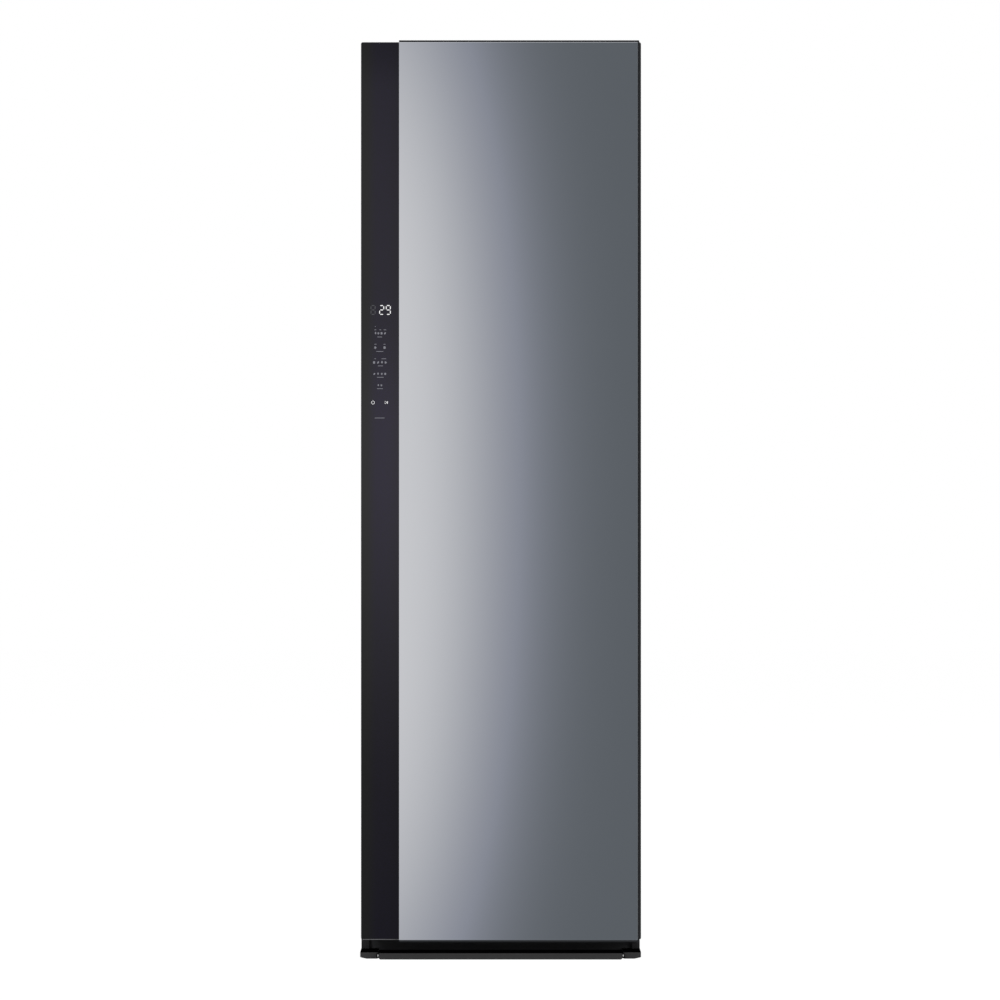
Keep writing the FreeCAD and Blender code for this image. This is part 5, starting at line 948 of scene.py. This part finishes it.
def make_screws(steel, dark):
    """Screws round the back panel and the rear cover, in the bottom hinge's leg and on the top."""
    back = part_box("back_panel")[1].y
    # Panel, its lowest screws' height over its edge, screws up each side, and the rows that go right across
    panels = (("back_panel", 14 * MM, 7, (-1,)), ("rear_cover", SCREW_EDGE, 4, (0, -1)))
    for node, foot, count, across in panels:
        low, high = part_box(node)
        xs = np.linspace(low.x + SCREW_EDGE, high.x - SCREW_EDGE, 4)
        zs = np.linspace(low.z + foot, high.z - SCREW_EDGE, count)
        whole_rows = zs[list(across)]
        places = [(x, back, z) for x in xs for z in zs if x in (xs[0], xs[-1]) or z in whole_rows]
        screw_heads(node + "_screws", places, TO_BACK, steel)
    low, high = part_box("bottom_hinge")
    leg_face = high.y - 3.5 * MM
    places = [((low.x + high.x) / 2, leg_face, high.z - depth) for depth in (10 * MM, 34 * MM)]
    screw_heads("bottom_hinge_screws", places, TO_FRONT, dark)
    low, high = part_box("top_panel")
    xs = (low.x + 24 * MM, high.x - 24 * MM)
    places = [(x, y, high.z) for x in xs for y in (high.y - 20 * MM, 60 * MM)]
    screw_heads("top_panel_screws", places, UP, dark)
    low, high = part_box("top_hinge_cover")
    places = [((low.x + high.x) / 2, low.y + 74 * MM, high.z)]
    screw_heads("hinge_cover_screw", places, UP, dark, SMALL_SCREW_RADIUS)


def make_feet(plastic):
    """Levelling feet: round pad, six-sided spanner nut and threaded stem.

    The radius is a function of turn and height: constant on the pad, a hexagon's on the nut, and on the stem
    a triangle wave that climbs one pitch for each turn.
    """
    angle = turn_steps(FOOT_COLUMNS)
    side = HALF_TURN / 3
    hexagon = NUT_RADIUS * math.cos(side / 2) / np.cos(np.mod(angle, side) - side / 2)
    rows = [(np.full(FOOT_COLUMNS, float(radius)), height) for radius, height in FOOT_PAD]
    rows += [(hexagon * share, height) for share, height in NUT_RINGS]
    for height in np.arange(NUT_RINGS[-1][1], STEM_TOP - THREAD_PITCH / 2, THREAD_PITCH / THREAD_STEPS):
        climb = np.mod(height / THREAD_PITCH - angle / FULL_TURN, 1)
        rows.append((THREAD_ROOT + (THREAD_CREST - THREAD_ROOT) * (1 - np.abs(2 * climb - 1)), height))
    rows.append((np.full(FOOT_COLUMNS, THREAD_ROOT * 0.8), STEM_TOP))
    radius = np.array([row for row, _ in rows])
    height = np.array([level for _, level in rows])[:, None]
    rings = turned(radius, angle, height) * MM
    for corner in ("front_left", "front_right", "back_left", "back_right"):
        node = "levelling_foot_" + corner
        low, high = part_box(node)
        centre = ((low.x + high.x) / 2, (low.y + high.y) / 2, 0)
        foot = solids(f"foot_{corner}_screw", at_places(rings, [centre]), "foot_" + corner,
                      plastic, sharp=30)
        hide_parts(node)


def box_points(low, high):
    """The eight corners of a block as two rings of four."""
    x = np.array([low[0], high[0], high[0], low[0]])
    y = np.array([low[1], low[1], high[1], high[1]])
    return np.stack([np.stack([x, y, np.full(4, z)], -1) for z in (low[2], high[2])])


def make_filter_mesh(wire):
    """The lint filter's net: upright and level wires just inside its front and back walls."""
    low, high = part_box("lint_filter")
    x = (low.x + NET_INSET, high.x - NET_INSET)
    y = (low.y + NET_INSET, high.y - NET_INSET)
    z = (low.z + 5 * MM, high.z - 7 * MM)
    half = HALF_WIRE
    wires = [box_points((at - half, side - half, z[0]), (at + half, side + half, z[1]))
             for at in np.arange(*x, NET_PITCH) for side in y]
    wires += [box_points((x[0], side - half, at - half), (x[1], side + half, at + half))
              for at in np.arange(*z, NET_PITCH) for side in y]
    solids("lint_net", wires, "filter", wire)


# ------------------------------------------------------------------ cabinet trim

BACK_BEAD_PLACES = np.array([-168.0, -56.0, 56.0, 168.0]) * MM
BACK_BEAD_HALF = 16 * MM
BACK_BEAD_HEIGHT = 4 * MM
LOUVRE_HEIGHTS = np.arange(150, 301, 14) * MM
LOUVRE_MIDDLE = 60 * MM
LOUVRE_HALF = 94 * MM
HOOD_OUT = 3.2 * MM
HOOD_UP = 3.6 * MM
HOOD_RISE = 5.2 * MM


def make_corner_aprons(plastic):
    """Small dark aprons that close the corners beside the kick panel, between the corner caps and the door.
    They stand both for a moulding and for the shade in these corners, and their finish has painted shade:
    near-black below 10.8 mm.
    """
    low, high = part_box("side_panel_right")
    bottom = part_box("plinth_corner_caps")[1].z + 0.1 * MM
    left, right = low.x - 2.5 * MM, high.x + 0.6 * MM
    back = low.y - 0.2 * MM
    front = back - 7.8 * MM
    tops = {"left": 39.5 * MM, "right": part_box("bottom_hinge")[0].z - 0.6 * MM}
    for side, top in tops.items():
        block = eased_block((left, front, bottom), (right, back, top), 0.4 * MM, 0.3 * MM)
        block = block * (-1 if side == "left" else 1, 1, 1)
        solids(f"corner_apron_{side}", [block], "root", plastic)


def make_back_relief(zinc):
    """Upright stiffening beads in the back panel, and a hood over each louvre of the rear cover.

    A hood's section is half an ellipse that shrinks towards its two ends as the root of 1 - s^6.
    """
    low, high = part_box("back_panel")
    panel_beads = beads(BACK_BEAD_PLACES, BACK_BEAD_HALF, low.z + 90 * MM, high.z - 80 * MM, high.y,
                        BACK_BEAD_HEIGHT, 1)
    solids("back_panel_beads", panel_beads, "root", zinc)
    along = np.linspace(-1, 1, 13)[:, None]
    size = np.sqrt(np.clip(1 - along ** 6, 0.03, 1))
    turn = np.linspace(0, HALF_TURN, 9)
    hood = np.stack([np.broadcast_to(LOUVRE_MIDDLE + LOUVRE_HALF * along, (len(along), len(turn))),
                     high.y - SUNK + HOOD_OUT * size * np.sin(turn),
                     HOOD_RISE + HOOD_UP * size * np.cos(turn)], -1)
    places = [(0, 0, height) for height in LOUVRE_HEIGHTS]
    solids("louvre_hoods", at_places(hood, places), "root", zinc)


# ------------------------------------------------------------------ chamber, tanks and press plate

COVE = 14 * MM
COVE_SUNK = 0.4 * MM
WALL_X = 243 * MM
WALL_BACK = 190 * MM
MOUTH = -204 * MM
CEILING = 1846 * MM
FLUTE_PLACES = np.linspace(-180, 180, 7) * MM
FLUTE_HALF = 7 * MM
FLUTE_HEIGHT = 2.4 * MM
LIGHT_X = 130 * MM
LIGHT_Y = (-196 * MM, -172 * MM)

POCKET_HALF = 62 * MM
LINE_PITCH = 20 * MM
LINE_THICKNESS = 1.6 * MM
LINE_PLACE = 104 * MM
CAP_RIM_IN = 25.5
CAP_RIM_OUT = 27.3
CAP_KNURL = 0.4
CAP_KNURLS = 36
CAP_COLUMNS = 144


def cove(corner, across, down, along):
    """Rings of a hollow quarter-round: a corner's square less a quarter circle, carried along a line."""
    turn = np.linspace(0, QUARTER_TURN, 10)
    a = np.concatenate([[COVE], COVE * (1 - np.sin(turn)), [-COVE_SUNK, -COVE_SUNK]])
    b = np.concatenate([[-COVE_SUNK], COVE * (1 - np.cos(turn)), [COVE, -COVE_SUNK]])
    start = np.array(corner) + a[:, None] * np.array(across) + b[:, None] * np.array(down)
    return np.stack([start, start + np.array(along)])


def make_chamber(liner, lens):
    """Coves where the chamber's walls and ceiling meet, flutes down its back, and the light at its mouth."""
    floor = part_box("chamber_floor")[1].z
    edges = [cove((0, WALL_BACK, CEILING), (0, -1, 0), (0, 0, -1), (WALL_X, 0, 0)),
             cove((WALL_X, MOUTH, CEILING), (-1, 0, 0), (0, 0, -1), (0, WALL_BACK - MOUTH, 0)),
             cove((WALL_X, WALL_BACK, floor), (-1, 0, 0), (0, -1, 0), (0, 0, CEILING - floor))]
    edges += [edge * (-1, 1, 1) for edge in edges]
    solids("chamber_coves", edges, "root", liner)
    flutes = beads(FLUTE_PLACES, FLUTE_HALF, floor + 270 * MM, CEILING - 90 * MM, WALL_BACK, FLUTE_HEIGHT, -1)
    solids("chamber_back_flutes", flutes, "root", liner)
    light = eased_block((-LIGHT_X, LIGHT_Y[0], CEILING - 7 * MM), (LIGHT_X, LIGHT_Y[1], CEILING + 0.4 * MM),
                        9 * MM, 2 * MM)
    solids("chamber_light", [light], "root", lens)


def make_tank_front(side, sign, plastic, marks):
    """A tank's pocket rim, top band and level lines, of which the lowest and the highest are long."""
    low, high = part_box(side + "_tank")
    middle = (low.x + high.x) / 2
    front = low.y
    path, out = rounded_outline(POCKET_HALF, high.z - 61.5 * MM, high.z - 20.5 * MM, 5 * MM, per_corner=6)
    rib = half_round(1.8 * MM, front, 1.3 * MM, -1)
    loop_piece(side + "_pocket_rim", (path + (middle, 0), out), rib, side, plastic)
    band = eased_block((low.x + 3 * MM, front - 1.3 * MM, high.z - 11 * MM),
                       (high.x - 3 * MM, front + 0.5 * MM, high.z - 6 * MM), 0.7 * MM, 0.5 * MM)
    solids(side + "_top_band", [band], side, plastic)
    lines = []
    for number, reach in enumerate((18, 10, 10, 10, 10, 18)):
        outer = middle + sign * LINE_PLACE
        left, right = sorted((outer, outer - sign * reach * MM))
        height = low.z + (number + 1) * LINE_PITCH
        lines.append(eased_block((left, front - 0.5 * MM, height),
                                 (right, front + 0.3 * MM, height + LINE_THICKNESS), 0.3 * MM, 0.2 * MM))
    solids(side + "_level_lines", lines, side, marks)


def make_cap_rim(side, cap):
    """The ribbed rim of a tank's cap: a ring whose outer radius is 27.3 mm + 0.4 mm cos 36 t."""
    low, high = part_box(side + "_cap")
    angle = turn_steps(CAP_COLUMNS)
    outer = CAP_RIM_OUT + CAP_KNURL * np.cos(CAP_KNURLS * angle)
    inner = np.full(CAP_COLUMNS, CAP_RIM_IN)
    radius = np.stack([inner, outer - 0.5, outer, outer, outer - 0.5, inner])
    height = np.array([2.2, 2.2, 2.7, 6.3, 6.8, 6.8])[:, None]
    rings = turned(radius, angle, height) * MM + ((low.x + high.x) / 2, (low.y + high.y) / 2, low.z)
    faces = net(len(rings), CAP_COLUMNS, wrap_rows=True).tolist()
    new_piece(side + "_cap_rim", rings, outward(rings, faces), side + "_lid", cap)


def make_press_ribs(plastic):
    """A raised border and upright flutes on the press plate's outer face."""
    low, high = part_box("press_plate")
    middle = high.x - 176 * MM
    face = high.y
    path, out = rounded_outline(158 * MM, low.z + 17 * MM, high.z - 17 * MM, 12 * MM, per_corner=8)
    rib = half_round(3.2 * MM, face, 1.4 * MM, 1)
    loop_piece("press_plate_border", (path + (middle, 0), out), rib, "press", plastic)
    places = middle + np.arange(-2, 3) * 48 * MM
    flutes = beads(places, 6 * MM, low.z + 46 * MM, high.z - 46 * MM, face, 1.2 * MM, 1)
    solids("press_plate_flutes", flutes, "press", plastic)


# ------------------------------------------------------------------ finishes on the fixed pieces

WELD_DISTANCE = 0.02 * MM


def soften_edges(node, width):
    """Joins the node's triangles for show and rounds its sharp edges."""
    weld = node.modifiers.new("joined", "WELD")
    weld.merge_threshold = WELD_DISTANCE
    bevel = node.modifiers.new("eased_edges", "BEVEL")
    bevel.width = width
    bevel.segments = 2
    bevel.limit_method = "ANGLE"
    bevel.angle_limit = math.radians(35)
    bevel.harden_normals = True


def dress_frame(frame):
    """Gives every fixed piece its finish, and most of them edges rounded by some millimetres."""
    hinge = powder_coat("hinge_paint", (0.035, 0.035, 0.036), 0.36)
    zinc = zinc_sheet("zinc", (0.40, 0.41, 0.42))
    liner = moulded_plastic("liner_white", (0.66, 0.665, 0.66), 0.34, grain=0.02 * MM, coat=0.1)
    dark = moulded_plastic("dark_moulding", (0.030, 0.030, 0.030), 0.46)
    tank = clear_plastic("tank_smoke", (0.42, 0.47, 0.52))
    cap = moulded_plastic("cap_blue", (0.10, 0.26, 0.42), 0.38)
    white = moulded_plastic("white_moulding", (0.74, 0.74, 0.73), 0.4)
    # Painted shade: the plinth bar and caps are near-black above 13.8 mm, where the door's shadow falls on
    # their tops.
    plinth = plinth_with_painted_shade("plinth_painted_shade", (0.036, 0.036, 0.036), 13.4 * MM, 13.8 * MM, above=True)
    rows = (
        # finish, edge in millimetres, nodes
        (powder_coat("charcoal_paint", (0.050, 0.052, 0.055)), 0.35,
         "side_panel_left side_panel_right top_panel"),
        (powder_coat("door_paint", (0.026, 0.027, 0.028), 0.5, 0.0, 0.12), 0.15, "door_shell"),
        (tinted_mirror("mirror", 42.2 * MM), 0.9, "mirror_glass"),
        # The control strip's finish has a painted reflection band by height.
        (black_glass_painted_reflection("strip_glass_painted_reflection"), 0.3, "control_glass"),
        (brushed_metal("dark_trim", (0.030, 0.031, 0.034), 0.38), 0.4, "panel_tray"),
        (zinc, 0, "back_panel rear_cover base_pan drive_frame"),
        (powder_coat("frame_paint", (0.085, 0.088, 0.092)), 0.3, "front_frame"),
        (hinge, 0.4, "top_hinge bottom_hinge"),
        (liner, 0.8, "chamber_liner door_liner"),
        (liner, 0.6, "chamber_floor air_outlet_grille tank_bay"),
        (plinth, 0.5, "plinth_front_bar plinth_corner_caps"),
        # Painted shade: the plinth tray is near-black below 10.8 mm, in the shadow of the recess under the
        # door.
        (plinth_with_painted_shade("recess_painted_shade", (0.040, 0.040, 0.042)), 0.3, "plinth_tray"),
        (dark, 0.4, "lint_filter power_gland top_hinge_cover"),
        (dark, 0, "blower_wheel blower_housing control_box"),
        (tank, 0.8, "supply_tank drain_tank"),
        (cap, 0.6, "supply_cap drain_cap"),
        (white, 0.7, "fragrance_holder shelf press_plate"),
        (white, 0, "door_hinge_bushes"),
        (open_foam("foam", (0.80, 0.74, 0.58)), 0, "door_foam mirror_backing insulation_panels"),
        (circuit_board("board"), 0, "display_board"),
        (brushed_metal("bar_aluminium", (0.78, 0.79, 0.80), 0.30, along_x=True), 0.3, "hanger_bar"),
        (brushed_metal("upright_aluminium", (0.76, 0.77, 0.78), 0.34), 0,
         "hanger_arms evaporator condenser steam_generator hanger_carriage"),
        (brushed_metal("nozzle_metal", (0.80, 0.80, 0.80), 0.16, 3200.0), 0.6, "steam_nozzle"),
        (powder_coat("black_enamel", (0.020, 0.020, 0.022), 0.30, 0.3), 0,
         "compressor hanger_motor blower_motor drive_crank"),
        (moulded_plastic("pump_white", (0.62, 0.62, 0.59), 0.5), 0, "water_pumps"),
        (soft_rubber("hose_black", (0.030, 0.030, 0.030)), 0, "water_hoses"),
        (drawn_copper("pipe_copper", (0.72, 0.38, 0.24)), 0, "refrigerant_pipes"),
    )
    for finish, edge, names in rows:
        for name in names.split():
            node = frame["nodes"][name]
            node.data.materials.clear()
            node.data.materials.append(finish)
            if edge:
                soften_edges(node, edge * MM)
    return {"dark": dark, "white": white, "zinc": zinc, "hinge": hinge, "liner": liner, "tank": tank,
            "cap": cap}


# ------------------------------------------------------------------ the scene


def main():
    make_camera()
    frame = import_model()
    bpy.context.scene.view_settings.view_transform = "Standard"
    make_world()
    make_lamps()
    make_floor()
    make_reflector()

    shared = dress_frame(frame)
    bright = lit_symbol("lit_white", (1.0, 1.0, 1.0), 1.0)
    dim = lit_symbol("dim_white", (0.86, 0.87, 1.0), 0.23)
    make_digits(bright, lit_symbol("resting_white", (0.80, 0.82, 1.0), 0.05))
    make_symbols(dim)
    make_captions(dim)
    make_touch_symbols(bright)
    make_strip_foot(moulded_plastic("strip_foot_grey", (0.12, 0.12, 0.125), 0.4))
    make_gasket(soft_rubber("seal_grey", (0.28, 0.28, 0.285)))
    make_press_cover(woven_cloth("press_weave", (0.42, 0.42, 0.43)))
    make_press_ears(shared["white"])
    make_screws(brushed_metal("screw_steel", (0.30, 0.30, 0.31), 0.32, 900.0), shared["hinge"])
    make_feet(moulded_plastic("foot_black", (0.022, 0.022, 0.022), 0.55))
    make_filter_mesh(shared["dark"])
    # The aprons' finish has painted shade: near-black below 10.8 mm.
    make_corner_aprons(plinth_with_painted_shade("apron_painted_shade", (0.026, 0.026, 0.027)))
    make_back_relief(shared["zinc"])
    lens = moulded_plastic("lens_white", (0.86, 0.87, 0.86), 0.22, grain=0.01 * MM, coat=0.3)
    make_chamber(shared["liner"], lens)
    marks = moulded_plastic("level_marks", (0.80, 0.81, 0.82), 0.45)
    for side, sign in (("supply", -1), ("drain", 1)):
        make_tank_front(side, sign, shared["tank"], marks)
        make_cap_rim(side, shared["cap"])
    make_press_ribs(shared["white"])


main()
